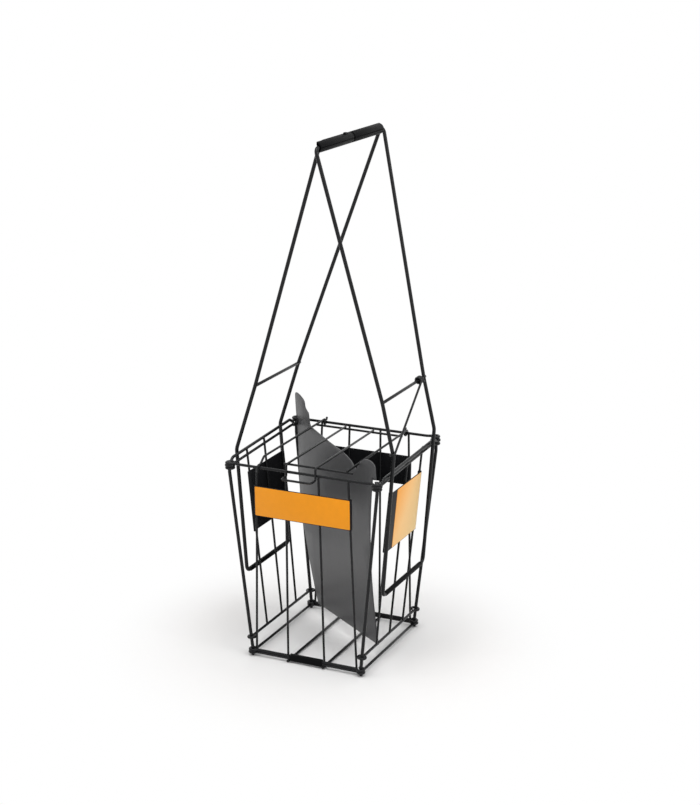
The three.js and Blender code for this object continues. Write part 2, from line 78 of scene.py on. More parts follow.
# Stands a flat outline up, and the quarter turns from the front to each side.
STAND = Matrix.Rotation(math.pi / 2, 4, "X")
QUARTERS = {"front": 0, "back": 2, "left": 3, "right": 1}

# How finely round shapes and edges are cut, and the sharpest edge that is shaded smooth.
WIRE_SIDES = 16
THICK_WIRE_SIDES = 20
SLEEVE_SIDES = 32
EDGE_STEPS = 2
CURVE_STEPS = 5
GRIP_STEPS = 14
BEND_STEP = math.radians(10)
CREASE = math.radians(42)
CUT_TOLERANCE = 1e-6

# Each lamp's name, its place and size in metres and its power in watts, and where they all look.
LAMPS = (
    ("lamp_over", (0.2, -0.5, 2.7), 1.8, 40),
    ("lamp_left", (-2.2, -1.6, 1.5), 0.7, 7),
    ("lamp_right", (2.5, -0.4, 1.6), 0.9, 17),
)
LAMP_AIM = Vector((0, 0, 0.35))

# How far from its middle the flats of the packed model's eight-sided wires lie, as a share of
# their radius.
FLAT_SHARE = math.cos(math.pi / 8)

# The steps of a wire's softened end, along it and across it, in shares of its radius.
END_SHARES = ((0, 0.62), (0.1, 0.86), (0.34, 1))

# A corner eye's neck and the stretch that bends down to it, in shares of the wire's diameter, and
# the share of the slack by which the eye moves aside.
NECK_SHARE = 1.2
LEAD_SHARE = 3
LEAD_STEPS = 6
ASIDE_SHARE = 0.7

# The grip's groove across its width and down its depth, and the lug along it and above the grip.
GROOVE_SHARES = ((1 / 3, 0.75), (1 / 6, 1))
LUG_SHARES = ((0.5, 0), (0.2, 1), (-1 / 3, 1), (-0.5, 0.5))

# The divider's upper edge, in shares of its ear's reach and of each part's rise.
FRONT_EAR_SHARES = ((1, 0.8), (0.97, 0.95), (0.9, 1), (0.78, 0.88), (0.66, 0.52), (0.63, 0.28))
DIP_SHARES = (
    (0.59, 1.08),
    (0.52, -1),
    (0.42, 0.7),
    (0.28, 1.65),
    (0.09, 1.9),
    (-0.15, 1.85),
    (-0.42, 2.2),
    (-0.58, 2.5),
)
BACK_EAR_SHARES = (
    (-0.63, 0.26),
    (-0.645, 0.56),
    (-0.67, 0.61),
    (-0.725, 0.7),
    (-0.745, 0.89),
    (-0.84, 0.98),
    (-0.93, 1),
    (-0.97, 0.95),
    (-0.985, 0.8),
)


def length(name, millimetres, description):
    default = millimetres / 1000
    return FloatProperty(name=name, description=description, default=default, unit="LENGTH", precision=4)


def lengths(name, millimetres, description):
    default = [value / 1000 for value in millimetres]
    size = len(default)
    return FloatVectorProperty(name=name, description=description, default=default, size=size, unit="LENGTH")


def angle(name, degrees, description):
    return FloatProperty(name=name, description=description, default=math.radians(degrees), subtype="ANGLE")


def colour(name, value, description):
    return FloatVectorProperty(
        name=name, description=description, default=value, size=3, subtype="COLOR", min=0, max=1
    )


def share(name, value, description):
    return FloatProperty(name=name, description=description, default=value, subtype="FACTOR", min=0, max=1)


class BasketSizes(bpy.types.PropertyGroup):
    """The basket's corners, rails and uprights"""

    rim_height: length("Rim height", 330, "Middle of the side rim rods over the floor")
    rim_half_width: length("Rim half width", 127, "Corner post axis from the middle, at the rim")
    rim_half_depth: length("Rim half depth", 118, "Corner post axis from the middle, at the rim")
    base_half_width: length("Base half width", 96, "Corner post axis from the middle, at the floor")
    base_half_depth: length("Base half depth", 108, "Corner post axis from the middle, at the floor")
    post_foot: length("Post foot", 13, "Upright stretch at the foot of a post")
    post_head: length("Post head", 14, "Upright stretch at the head of a post")
    post_rise: length("Post rise", 1.2, "Post over the highest wire that it holds")
    base_wire_height: length("Base wire height", 6.5, "Middle of the floor grid's outer wires")
    side_rail_height: length("Side rail height", 32, "Middle of the side panels' lowest wire")
    end_upright_top: lengths("End uprights, top", (78.5, 28), "End panels' half spacings at the rim")
    end_upright_foot: lengths("End uprights, foot", (88.5, 32), "End panels' half spacings below")
    side_upright_top: length("Side uprights, top", 59.5, "Side panels' half spacing at the rim")
    side_upright_foot: length("Side uprights, foot", 53, "Side panels' half spacing below")
    floor_wire_spacing: length("Floor wire half spacing", 31, "Inner floor wires from the middle")
    floor_wire_overhang: length("Floor wire overhang", 5, "Inner floor wires past the outer wires")


class WireSizes(bpy.types.PropertyGroup):
    """Wire diameters and the clearances between wires"""

    post: length("Post", 5, "Diameter of the corner posts")
    rim_rod: length("Rim rod", 4.5, "Diameter of the side rim rods")
    rail: length("Rail", 4, "Diameter of the rims, rails and floor wires")
    upright: length("Upright", 3.2, "Diameter of the uprights")
    lid: length("Lid wire", 3.2, "Diameter of the lid's wires")
    handle: length("Handle wire", 5.5, "Diameter of the handle frames")
    crossbar: length("Crossbar", 4.5, "Diameter of the handle crossbars")
    lock_rod: length("Lock rod", 3.2, "Diameter of the lock rod")
    weld_depth: length("Weld depth", 0.3, "How far two welded wires sink into each other")
    bead: length("Weld bead", 0.55, "How far a weld swells past the wire")
    coat: length("Powder coat", 0.22, "Thickness of the coat on each wire")
    corner_slack: length("Corner slack", 0.9, "How much wider the rims' corner eyes are bent than the rest")
    rim_drop: length("Rim drop", -1, "How far the front and back rims bend down to their eyes")
    rod_drops: lengths("Rod drops", (7.5, 0), "Rim rods' bends down to their front and back eyes")
    rail_drops: lengths("Rail drops", (3, -3), "Inner rails' bends down to their front and back eyes")
    back_rise: length("Back rise", 6, "How much higher the side rods run at the back, before their eyes")
    fit_gap: length("Fit gap", 0.3, "Between pieces that touch")
    eye_gap: length("Eye gap", 0.45, "Round a post or rod in a wire eye")
    bore_gap: length("Bore gap", 0.35, "Round a wire in a moulded bore")
    leg_gap: length("Leg gap", 0.8, "Between a handle's legs and the rim rod")


class LidSizes(bpy.types.PropertyGroup):
    """The lid's wires, hinge eyes, hook and latch loop"""

    spacing: length("Wire spacing", 50, "Between neighbouring long wires")
    back_bar_inset: length("Back bar inset", 24.5, "Back bar in front of the hinge")
    front_bar_inset: length("Front bar inset", 6, "Front bar behind the front rim")
    back_bar_overhang: length("Back bar overhang", 3, "Back bar past the outer long wires")
    front_bar_overhang: length("Front bar overhang", 9, "Front bar past the outer wires that it joins")
    end_overhang: length("End overhang", 3, "Long wires past the bar that they end on")
    hook_slope: length("Hook slope", 12, "Length over which the hooked wire steps down")
    hinge_tail: length("Hinge tail", 4, "Free end of each hinge eye")
    hook_drop: length("Hook drop", 7, "End of the front hook below the front rim's middle")
    latch_drop: length("Latch drop", 4, "Latch loop below the underside of the front rim")
    latch_reach: length("Latch reach", 18, "Latch loop in front of its own legs")
    latch_corner: length("Latch corner", 5, "Bend radius of the latch loop")


class PlateSizes(bpy.types.PropertyGroup):
    """Label plates, labels and the front clip"""

    thickness: length("Sheet", 1, "Thickness of the plates")
    lip: length("Lip", 5, "How far each edge is turned back behind the wires")
    corner: length("Corner", 1.2, "Flat edge of the plate that the label keeps clear of")
    fold: length("Fold radius", 2.4, "Outside radius of the plates' folds")
    end_height: length("End plate height", 50, "Front and back plates")
    end_drop: length("End plate drop", 35, "Upper edge of the end plates below the side rim rods")
    side_height: length("Side plate height", 100, "Left and right plates")
    side_drop: length("Side plate drop", 36, "Upper edge of the side plates below the side rim rods")
    edge: length("Edge", 0.3, "Plate past the outer upright, besides its own wall")
    label_thickness: length("Label", 0.25, "Thickness of the label film")
    label_inset: length("Label inset", 1, "Label's edge to the plate's edge")
    label_corner: length("Label corner", 1.6, "Radius of the label's corners")
    side_margins: lengths("Side margins", (24.5, 3), "A side label's front and back edges to its plate's")
    clip_half_length: length("Clip half length", 28.2, "Half the length of the front clip")
    clip_wall: length("Clip wall", 1.3, "Wall of the front clip")
    clip_bite: length("Clip bite", 1, "Clip's lips behind the wires")
    clip_radii: lengths("Clip radii", (2, 1.6, 0.3, 0.3, 0, 0.8), "Half its corners, from the outer foot on")


class DividerSizes(bpy.types.PropertyGroup):
    """The drop-in divider sheet"""

    thickness: length("Sheet", 2, "Thickness of the divider")
    foot: length("Foot", 26, "Lower edge over the floor")
    foot_half_width: length("Foot half width", 98, "Half the width of the lower edge")
    back_bend: lengths("Back edge's bend", (156, 190), "Its reach along the diagonal, and its height")
    lean: angle("Lean", 4.6, "How far its ears lean over to the front left")
    front_notch: length("Front notch", 10, "How far the front edge draws in below its ear")
    foot_push: length("Foot push", 36, "How far the foot's front end is pushed towards the back right")
    shoulder: length("Shoulder", 4, "Overhang of each ear on the corner eyes")
    edge_gap: length("Edge gap", 0.8, "Sheet's edge to the corner eyes")
    front_ear: length("Front ear", 28, "Front ear's top over the rim")
    back_ear: length("Back ear", 54, "Back ear's top over the rim")
    dip: length("Dip", 4, "Lowest point of the upper edge below the rim")


class HandleSizes(bpy.types.PropertyGroup):
    """Handle frames, sleeves, grips and the lock rod"""

    half_spacings: lengths("Leg half spacings", (76.4, 81.7), "Left and right legs, up to the crossbar")
    bar_height: length("Bar height", 130, "Lower bar's axis over the floor")
    bar_half_spread: length("Bar half spread", 121, "Lower bar's axis from the middle")
    bend_heights: lengths("Bend heights", (336, 360), "Where the left and right legs turn inwards")
    crossbar_height: length("Crossbar height", 444, "Crossbar's axis over the floor")
    grip_height: length("Grip height", 831, "Middle of the two half grips")
    grip_offset: length("Grip offset", 27.2, "Meeting face of the half grips, right of the middle")
    grip_split: length("Grip split", 0.15, "Each half grip from the meeting face")
    left_reach: lengths("Left top", (100, 122), "From the middle to the left top's front and back corners")
    right_reach: lengths("Right top", (127.5, 118.5), "From the middle to the right top's corners")
    top_corner: length("Top corner", 8, "Bend radius beside the grip")
    bar_corner: length("Bar corner", 9, "Bend radius beside the sleeve")
    bend_radius: length("Leg bend radius", 22, "Where each leg turns inwards")
    knee_radius: length("Knee radius", 60, "Where a leg flares out above the crossbar")
    wire_end_gap: length("Wire end gap", 4, "The frame wire's two ends, inside the grip")
    crossbar_overhang: length("Crossbar overhang", 6, "Crossbar's end past the back leg")
    sleeve: length("Sleeve", 7.8, "Outside diameter of the lower bar's sleeve")
    sleeve_end: length("Sleeve end", 11, "Sleeve's end to the leg's axis")
    grip_radius: length("Grip radius", 8.5, "Outside radius of the round grip")
    grip_end: length("Grip end", 1.5, "Grip's end to the start of the frame's corner")
    grip_middle_gap: length("Grip gap", 3.6, "Between the two lengths of each half grip")
    grip_edge: length("Grip edge", 1.2, "Rounding of the grip's ends")
    groove: lengths("Grip groove", (1.6, 1.1), "Width and depth of the groove along each half grip")
    lug: lengths("Lug", (4, 9, 2), "Across, along and above the grip")
    lug_place: length("Lug place", 21, "Lug's middle from the grip's middle")
    lug_sink: length("Lug sink", 1.6, "Lug's root inside the grip")
    rod_eye: length("Rod eye", 58, "Lock rod's eye along the crossbar")
    rod_turns: FloatProperty(name="Rod turns", description="Turns of the lock rod's coil", default=2.8, min=1)
    rod_end_rise: length("Rod end rise", 5, "Lock rod's end above the leg's bend")
    rod_tip: length("Rod tip", 9, "Turned-in end beside the front leg")
    rod_tail: length("Rod tail", 4.8, "Free end of the lock rod's coil")
    rod_corners: lengths("Rod corners", (4.9, 3.5), "Bend radii below the coil and at the hooked end")


class Finishes(bpy.types.PropertyGroup):
    """Colours of the materials"""

    steel: colour("Coated steel", (0.0075, 0.0078, 0.0085), "Powder coat on the wires")
    steel_dust: colour("Dust", (0.045, 0.044, 0.042), "Dust and rubbed spots on the powder coat")
    sheet: colour("Plate sheet", (0.007, 0.0072, 0.0082), "Black sheet of the label plates")
    label: colour("Label", (0.84, 0.3, 0.01), "Bare label film")
    divider: colour("Divider", (0.032, 0.032, 0.0335), "Dark grey plastic sheet")
    moulding: colour("Moulding", (0.0033, 0.0034, 0.0037), "Grips, sleeves and clip")
    sheen: colour("Label sheen", (1, 0.93, 0.58), "What the label film mirrors at a low angle")
    floor: colour("Floor", (0.8, 0.795, 0.791), "Pale studio floor")


class StageSettings(bpy.types.PropertyGroup):
    """Camera, floor and lamps"""

    camera_place: FloatVectorProperty(
        name="Camera",
        description="Camera's place",
        default=(1.1801, -2.487175, 1.2212),
        subtype="TRANSLATION",
    )
    azimuth: angle("Azimuth", 24.8, "How far round to the right the camera stands")
    elevation: angle("Elevation", 16.4, "How far down the camera looks")
    focal_length: FloatProperty(
        name="Focal length", description="On a 36 mm sensor", default=81.1, unit="CAMERA", min=1
    )
    floor_half_width: length("Floor half width", 9000, "Half the width of the floor")
    room_light: share("Room light", 0.66, "Level of the light from all round")
    clear_floor: lengths("Clear floor", (190, 400), "Distances between which the floor clears to plain white")


GROUPS = {
    "hopper_basket": BasketSizes,
    "hopper_wires": WireSizes,
    "hopper_lid": LidSizes,
    "hopper_plates": PlateSizes,
    "hopper_divider": DividerSizes,
    "hopper_handles": HandleSizes,
    "hopper_finishes": Finishes,
    "hopper_stage": StageSettings,
}


class Plan:
    """The sizes that follow from the settings, with the basket's middle at the origin."""

    def __init__(self, scene):
        self.basket = basket = scene.hopper_basket
        self.wires = wires = scene.hopper_wires
        self.lid = scene.hopper_lid
        self.plates = scene.hopper_plates
        self.divider = scene.hopper_divider
        self.handles = scene.hopper_handles
        self.rim_rod_radius = wires.rim_rod / 2
        self.rail_radius = wires.rail / 2
        self.front_rim = basket.rim_height - self.rim_rod_radius - self.rail_radius - wires.fit_gap
        self.back_rim = basket.rim_height + self.rim_rod_radius + self.rail_radius + wires.fit_gap
        self.inner_rail = self.front_rim - wires.rail - wires.fit_gap
        self.panel_foot = basket.base_wire_height + wires.rail + wires.fit_gap
        self.post_head = self.inner_rail - basket.post_head + wires.rail
        self.rim_rod_offset = self.welded_spacing(wires.upright, wires.rim_rod)
        self.rim_rod_x = basket.rim_half_width + self.rim_rod_offset

    def welded_spacing(self, first, second):
        """How far apart the middles of two crossed, welded wires lie."""
        return (first + second) / 2 * FLAT_SHARE - self.wires.weld_depth

    def eye_radius(self, held, wire):
        """The middle radius of an eye in one wire that holds another."""
        return held / 2 + self.wires.eye_gap + wire / 2

    def post_lean(self, z):
        """How far up its lean a post is at a height, from 0 to 1."""
        return min(max((z - self.basket.post_foot) / (self.post_head - self.basket.post_foot), 0), 1)

    def post_x(self, z):
        basket = self.basket
        return basket.base_half_width + (basket.rim_half_width - basket.base_half_width) * self.post_lean(z)

    def post_y(self, z):
        basket = self.basket
        return basket.base_half_depth + (basket.rim_half_depth - basket.base_half_depth) * self.post_lean(z)


class HandlePlan:
    """Where one handle's wire runs."""

    def __init__(self, plan, name):
        sizes, wires = plan.handles, plan.wires
        side = SIDES[name]
        leg_at_rim = plan.rim_rod_x + plan.rim_rod_radius + wires.leg_gap + wires.handle / 2 - wires.coat
        slope = (leg_at_rim - sizes.bar_half_spread) / (plan.basket.rim_height - sizes.bar_height)
        which = 0 if side < 0 else 1
        bend_z = sizes.bend_heights[which]
        bend_x = leg_at_rim + slope * (bend_z - plan.basket.rim_height)
        self.spacing = sizes.half_spacings[which]
        self.reach = dict(zip((-1, 1), sizes.left_reach if side < 0 else sizes.right_reach))
        self.wire_to_face = wires.handle / 2 + wires.bore_gap + sizes.grip_split
        self.top = Vector((sizes.grip_offset + side * self.wire_to_face, 0, sizes.grip_height))
        self.bend = Vector((side * bend_x, 0, bend_z))
        rise = (sizes.crossbar_height - bend_z) / (sizes.grip_height - bend_z)
        self.crossbar = self.bend.lerp(self.top, rise)
        self.bar = Vector((side * sizes.bar_half_spread, 0, sizes.bar_height))


def at_y(point, y):
    return Vector((point.x, y, point.z))


def flat(points):
    """Pairs of numbers as points of a flat outline."""
    return [Vector((x, y, 0)) for x, y in points]


def turns_round(sides):
    """The angles of a ring's points."""
    return [2 * math.pi * k / sides for k in range(sides)]


# Shapes


def circled(start, centre, axis, turn, shift=Vector()):
    """Points from a start round an axis through a centre, moved along by a shift over the turn."""
    steps = max(1, math.ceil(abs(turn) / BEND_STEP))
    arm = start - centre
    return [
        centre + Matrix.Rotation(turn * step / steps, 3, axis) @ arm + shift * (step / steps)
        for step in range(steps + 1)
    ]


def bent(corners, radii):
    """A wire's centre line: straight between corners that are rounded to a radius."""
    if not isinstance(radii, (list, tuple)):
        radii = [radii] * (len(corners) - 2)
    line = [corners[0].copy()]
    for before, corner, after, radius in zip(corners, corners[1:], corners[2:], radii):
        into = (corner - before).normalized()
        out = (after - corner).normalized()
        if radius:
            turn = into.angle(out)
            axis = into.cross(out).normalized()
            start = corner - into * radius * math.tan(turn / 2)
            line += circled(start, start + axis.cross(into) * radius, axis, turn)
        else:
            line.append(corner.copy())
    line.append(corners[-1].copy())
    return line


def eye_end(plan, centre, along, hole, aside, held, wire, offset=0.0, drop=0.0):
    """The end of a wire that comes in along a direction, bends down and wraps round what it holds."""
    slack = plan.wires.corner_slack
    shift = slack * ASIDE_SHARE
    radius = plan.eye_radius(held, wire) + slack
    post = centre
    centre = post - along * (slack + plan.wires.coat) - aside * shift
    offset += shift
    neck = NECK_SHARE * wire
    stretch = LEAD_SHARE * wire
    side = hole.cross(along).normalized()
    if side.dot(aside) < 0:
        side = -side
    axis = along.cross(side)
    reach = math.sqrt((radius + neck) ** 2 - (offset + neck) ** 2)
    start = centre - along * reach + side * offset
    line = circled(start, start + side * neck, axis, math.atan2(reach, offset + neck))
    clear = math.asin(min(1, max(0, (wire + plan.wires.fit_gap - offset) / radius)))
    wrap = 2 * math.pi - clear - math.atan2(offset + neck, reach)
    line += circled(line[-1], centre, -axis, wrap)[1:]
    lead = [start - along * (stretch * k / LEAD_STEPS) for k in range(LEAD_STEPS, 0, -1)]
    lowered = []
    for point in [*lead, *line]:
        near = 1 - ((point - post).dot(-along) - radius) / stretch
        fade = min(max(near, 0), 1)
        lowered.append(point - Vector((0, 0, drop * fade * fade * (3 - 2 * fade))))
    return lowered


def eyed_wire(first_end, last_end):
    """A wire between two ends that are both drawn outwards from its middle."""
    return first_end[::-1] + last_end


def through(points):
    """A smooth line through points."""
    line = []
    padded = [points[0] * 2 - points[1], *points, points[-1] * 2 - points[-2]]
    for a, b, c, d in zip(padded, padded[1:], padded[2:], padded[3:]):
        for step in range(CURVE_STEPS):
            t = step / CURVE_STEPS
            square = (a * 2 - b * 5 + c * 4 - d) * t**2
            cube = (b * 3 - a - c * 3 + d) * t**3
            line.append((b * 2 + (c - a) * t + square + cube) / 2)
    return [*line, points[-1]]


def rounded_outline(corners, radii):
    """A closed outline with its corners rounded."""
    middle = (corners[-1] + corners[0]) / 2
    return bent([middle, *corners, middle], radii)[:-1]


def skin(shape, near, far):
    """Joins two rings of points with a band of faces."""
    for k, point in enumerate(near):
        after = (k + 1) % len(near)
        shape.faces.new((point, near[after], far[after], far[k]))


def sweep(shape, line, diameter, closed=False, sides=WIRE_SIDES):
    """Adds a coated round wire along a centre line, with softened ends unless it is closed."""
    radius = diameter / 2 + bpy.context.scene.hopper_wires.coat
    runs = [(after - before).normalized() for before, after in zip(line, line[1:])]
    if closed:
        runs.append((line[0] - line[-1]).normalized())
        ways = [(runs[i - 1] + runs[i]).normalized() for i in range(len(line))]
    else:
        ways = [runs[0], *[(a + b).normalized() for a, b in zip(runs, runs[1:])], runs[-1]]
    stations = [(point, way, radius) for point, way in zip(line, ways)]
    if not closed:
        head = [(line[0] + ways[0] * radius * back, ways[0], radius * wide) for back, wide in END_SHARES]
        tail = [(line[-1] - ways[-1] * radius * back, ways[-1], radius * wide) for back, wide in END_SHARES]
        stations = head + stations[1:-1] + tail[::-1]
    normal = stations[0][1].orthogonal().normalized()
    last_way = stations[0][1]
    rings = []
    for point, way, size in stations:
        normal = last_way.rotation_difference(way) @ normal
        last_way = way
        across = way.cross(normal)
        arms = [normal * math.cos(t) + across * math.sin(t) for t in turns_round(sides)]
        rings.append([shape.verts.new(point + arm * size) for arm in arms])
    pairs = list(zip(rings, rings[1:]))
    if closed:
        pairs.append((rings[-1], rings[0]))
    for near, far in pairs:
        skin(shape, near, far)
    if not closed:
        shape.faces.new(rings[0][::-1])
        shape.faces.new(rings[-1])


def ring(shape, plan, centre, held, wire):
    """Adds a closed wire collar round an upright post."""
    radius = plan.eye_radius(held, wire)
    start = centre + Vector((radius, 0, 0))
    sweep(shape, circled(start, centre, UP, 2 * math.pi)[:-1], wire, closed=True)


def bead(shape, centre, diameter, swell):
    """Adds a weld's swelling where two wires cross."""
    bmesh.ops.create_icosphere(
        shape,
        subdivisions=2,
        radius=diameter / 2 + bpy.context.scene.hopper_wires.coat + swell,
        matrix=Matrix.Translation(centre),
    )


def prism(shape, outline, depth, edge, place):
    """Adds a prism from 0 to a depth along Z, with its end edges rounded, put in place by a matrix."""
    part = bmesh.new()
    ends = [[part.verts.new((point.x, point.y, z)) for point in outline] for z in (0, depth)]
    caps = [part.faces.new(ends[0][::-1]), part.faces.new(ends[1])]
    skin(part, *ends)
    bmesh.ops.recalc_face_normals(part, faces=part.faces)
    rims = [rim for cap in caps for rim in cap.edges]
    bmesh.ops.bevel(part, geom=rims, offset=edge, segments=EDGE_STEPS, profile=0.5, affect="EDGES")
    part.transform(place)
    join(shape, part)


def lathe(shape, profile, place):
    """Adds a closed profile of radius and height, turned about Z."""
    part = bmesh.new()
    rings = []
    for radius, height in profile:
        points = [(radius * math.cos(t), radius * math.sin(t), height) for t in turns_round(SLEEVE_SIDES)]
        rings.append([part.verts.new(point) for point in points])
    for near, far in zip(rings, rings[1:] + rings[:1]):
        skin(part, near, far)
    part.transform(place)
    join(shape, part)


def join(shape, part):
    """Moves one bmesh's faces into another."""
    mesh = bpy.data.meshes.new("join")
    part.to_mesh(mesh)
    part.free()
    shape.from_mesh(mesh)
    bpy.data.meshes.remove(mesh)


def middle_y():
    """Where the basket's middle lies in the packed model."""
    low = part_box("corner_post_front_left")[0].y
    return (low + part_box("corner_post_back_left")[1].y) / 2


def add_piece(name, node, shape):
    """Turns a shape into the named object that stands for a node of the packed model."""
    bmesh.ops.recalc_face_normals(shape, faces=shape.faces)
    for face in shape.faces:
        face.smooth = True
    for rim in shape.edges:
        rim.smooth = rim.calc_face_angle(0) < CREASE
    mesh = bpy.data.meshes.new(name)
    shape.transform(Matrix.Translation((0, middle_y(), 0)))
    shape.to_mesh(mesh)
    shape.free()
    obj = bpy.data.objects.new(name, mesh)
    bpy.context.scene.collection.objects.link(obj)
    slot = SLOTS[node]
    mesh.materials.append(finish(bpy.context.scene, slot))
    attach(obj, frame["nodes"][node]["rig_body"])
    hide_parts(node)
    return obj


# Materials


class Value:
    """A shader socket that can be added, taken away and multiplied."""

    def __init__(self, graph, socket):
        self.graph = graph
        self.socket = socket

    def maths(self, operation, first, second):
        return self.graph.add("ShaderNodeMath", {"operation": operation}, {0: first, 1: second})

    def __add__(self, other):
        return self.maths("ADD", self, other)

    __radd__ = __add__

    def __mul__(self, other):
        return self.maths("MULTIPLY", self, other)

    __rmul__ = __mul__

    def __pow__(self, other):
        return self.maths("POWER", self, other)


class Graph:
    """The nodes of one material or world."""

    def __init__(self, owner):
        owner.use_nodes = True
        self.tree = owner.node_tree
        self.tree.nodes.clear()

    def add(self, kind, settings=None, inputs=None, output=0):
        """Adds a node, sets it, feeds its sockets with values or links, and gives one output."""
        node = self.tree.nodes.new(kind)
        for key, value in (settings or {}).items():
            setattr(node, key, value)
        for key, value in (inputs or {}).items():
            if isinstance(value, Value):
                self.tree.links.new(value.socket, node.inputs[key])
            else:
                node.inputs[key].default_value = value
        return Value(self, node.outputs[output]) if len(node.outputs) else node

    def place(self, stretch=(1, 1, 1)):
        """The point on the piece, in metres, stretched along the axes."""
        point = self.add("ShaderNodeTexCoord", output="Object")
        return self.add("ShaderNodeMapping", inputs={"Vector": point, "Scale": stretch})

    def noise(self, scale, detail, stretch=(1, 1, 1)):
        """Soft noise from 0 to 1, at so many waves a metre."""
        inputs = {"Vector": self.place(stretch), "Scale": scale, "Detail": detail}
        return self.add("ShaderNodeTexNoise", inputs=inputs, output="Fac")

    def between(self, value, low, high):
        """0 where a value is below low, 1 above high, and smooth between."""
        inputs = {"Value": value, "From Min": low, "From Max": high}
        return self.add("ShaderNodeMapRange", {"interpolation_type": "SMOOTHSTEP"}, inputs)

    def blend(self, factor, first, second):
        """One colour faded into another."""
        return self.add("ShaderNodeMix", {"data_type": "RGBA"}, {0: factor, 6: first, 7: second}, 2)

    def bump(self, height, depth, strength):
        """A surface raised by up to a depth in metres."""
        inputs = {"Height": height, "Distance": depth, "Strength": strength}
        return self.add("ShaderNodeBump", inputs=inputs)

    def mottle(self, patches, value, low, high):
        """A settings colour that fades between two of its levels."""
        return self.blend(patches, solid(value, low), solid(value, high))

    def principled(self, colour, roughness, specular, **others):
        """A surface from its colour, its roughness and how much it mirrors."""
        inputs = {"Base Color": colour, "Roughness": roughness, "Specular IOR Level": specular, **others}
        return self.add("ShaderNodeBsdfPrincipled", inputs=inputs)

    def surface(self, shader, kind="ShaderNodeOutputMaterial"):
        self.add(kind, inputs={"Surface": shader})


def solid(value, level=1.0):
    """A settings colour at a level, as a socket takes it."""
    return (*[channel * level for channel in value], 1)


def coated_steel(graph, finishes):
    """Black powder coat: a faint orange peel, patchy gloss, and specks of dust."""
    patches = graph.noise(26, 3)
    dust = graph.between(graph.noise(420, 4), 0.66, 0.8) * 0.5
    rubbed = graph.between(graph.noise(60, 5), 0.62, 0.78) * 0.25
    steel = graph.mottle(patches, finishes.steel, 0.8, 1.25)
    dusty = graph.blend(dust + rubbed, steel, solid(finishes.steel_dust))
    peel = graph.bump(graph.noise(1300, 2), 0.00012, 0.6)
    return graph.principled(dusty, 0.2 + 0.12 * patches + 0.2 * dust, 0.2, Normal=peel)


def plate_sheet(graph, finishes):
    """Satin black sheet with faint vertical drawing lines."""
    lines = graph.noise(9, 3, (60, 60, 1.5))
    patches = graph.noise(22, 3)
    sheet = graph.mottle(patches, finishes.sheet, 0.8, 1.4)
    drawn = graph.blend(graph.between(lines, 0.6, 0.75) * 0.2, sheet, solid(finishes.steel_dust))
    grain = graph.bump(graph.noise(1100, 2), 0.0001, 0.5)
    return graph.principled(drawn, 0.34 + 0.16 * patches + 0.08 * lines, 0.12, Normal=grain)


def label_film(graph, finishes):
    """Orange film: even colour with a slight mottle, and a sheen that grows at a low angle."""
    mottle = graph.noise(120, 4)
    waves = graph.noise(14, 2)
    orange = graph.mottle(mottle, finishes.label, 0.94, 1.04)
    ripple = graph.bump(waves + 0.15 * graph.noise(900, 2), 0.0003, 0.35)
    film = graph.principled(orange, 0.34 + 0.1 * waves, 0.15, Normal=ripple)
    facing = graph.add("ShaderNodeLayerWeight", inputs={"Blend": 0.5}, output="Facing")
    sheen = graph.add("ShaderNodeBsdfGlossy", inputs={"Color": solid(finishes.sheen), "Roughness": 0.45})
    return graph.add("ShaderNodeMixShader", inputs={0: facing**3 * 1.05, 1: film, 2: sheen})


def divider_sheet(graph, finishes):
    """Dark grey plastic: fine grain, long faint scuffs where things have slid down it."""
    slides = graph.noise(7, 4, (70, 70, 1.2))
    scuffs = graph.between(slides, 0.58, 0.72)
    patches = graph.noise(12, 3)
    grey = graph.mottle(patches, finishes.divider, 1.2, 1.75)
    scuffed = graph.blend(scuffs * 0.18, grey, solid(finishes.divider, 2.6))
    grain = graph.bump(graph.noise(1700, 3), 0.00012, 0.5)
    return graph.principled(scuffed, 0.36 + 0.12 * patches + 0.1 * scuffs, 0.45, Normal=grain)


def moulding(graph, finishes):
    """Black moulded plastic with a fine spark-eroded grain."""
    patches = graph.noise(40, 3)
    black = graph.mottle(patches, finishes.moulding, 0.8, 1.5)
    grain = graph.bump(graph.noise(2300, 3), 0.00015, 0.7)
    return graph.principled(black, 0.42 + 0.14 * patches, 0.045, Normal=grain)


FINISHES = {
    "steel": coated_steel,
    "plate_sheet": plate_sheet,
    "label": label_film,
    "divider_sheet": divider_sheet,
    "moulding": moulding,
}


def finish(scene, slot):
    """The material of a slot, made the first time that it is asked for."""
    name = "hopper_" + slot
    material = bpy.data.materials.get(name)
    if material is None:
        material = bpy.data.materials.new(name)
        graph = Graph(material)
        graph.surface(FINISHES[slot](graph, scene.hopper_finishes))
    return material


# Operators


class HOPPER_OT_posts(bpy.types.Operator):
    """Bends the four corner posts"""

    bl_idname = "hopper.posts"
    bl_label = "Corner posts"

    def execute(self, context):
        plan = Plan(context.scene)
        basket, wires = plan.basket, plan.wires
        for end, side_y in (("front", -1), ("back", 1)):
            top = plan.front_rim + plan.rail_radius if side_y < 0 else plan.back_rim - plan.rail_radius / 2
            heights = (0, basket.post_foot, plan.post_head, top + basket.post_rise)
            for name, side_x in SIDES.items():
                corners = [Vector((side_x * plan.post_x(z), side_y * plan.post_y(z), z)) for z in heights]
                shape = bmesh.new()
                sweep(shape, bent(corners, 2 * wires.post), wires.post, sides=THICK_WIRE_SIDES)
                add_piece(f"post_{end}_{name}", f"corner_post_{end}_{name}", shape)
        return {"FINISHED"}


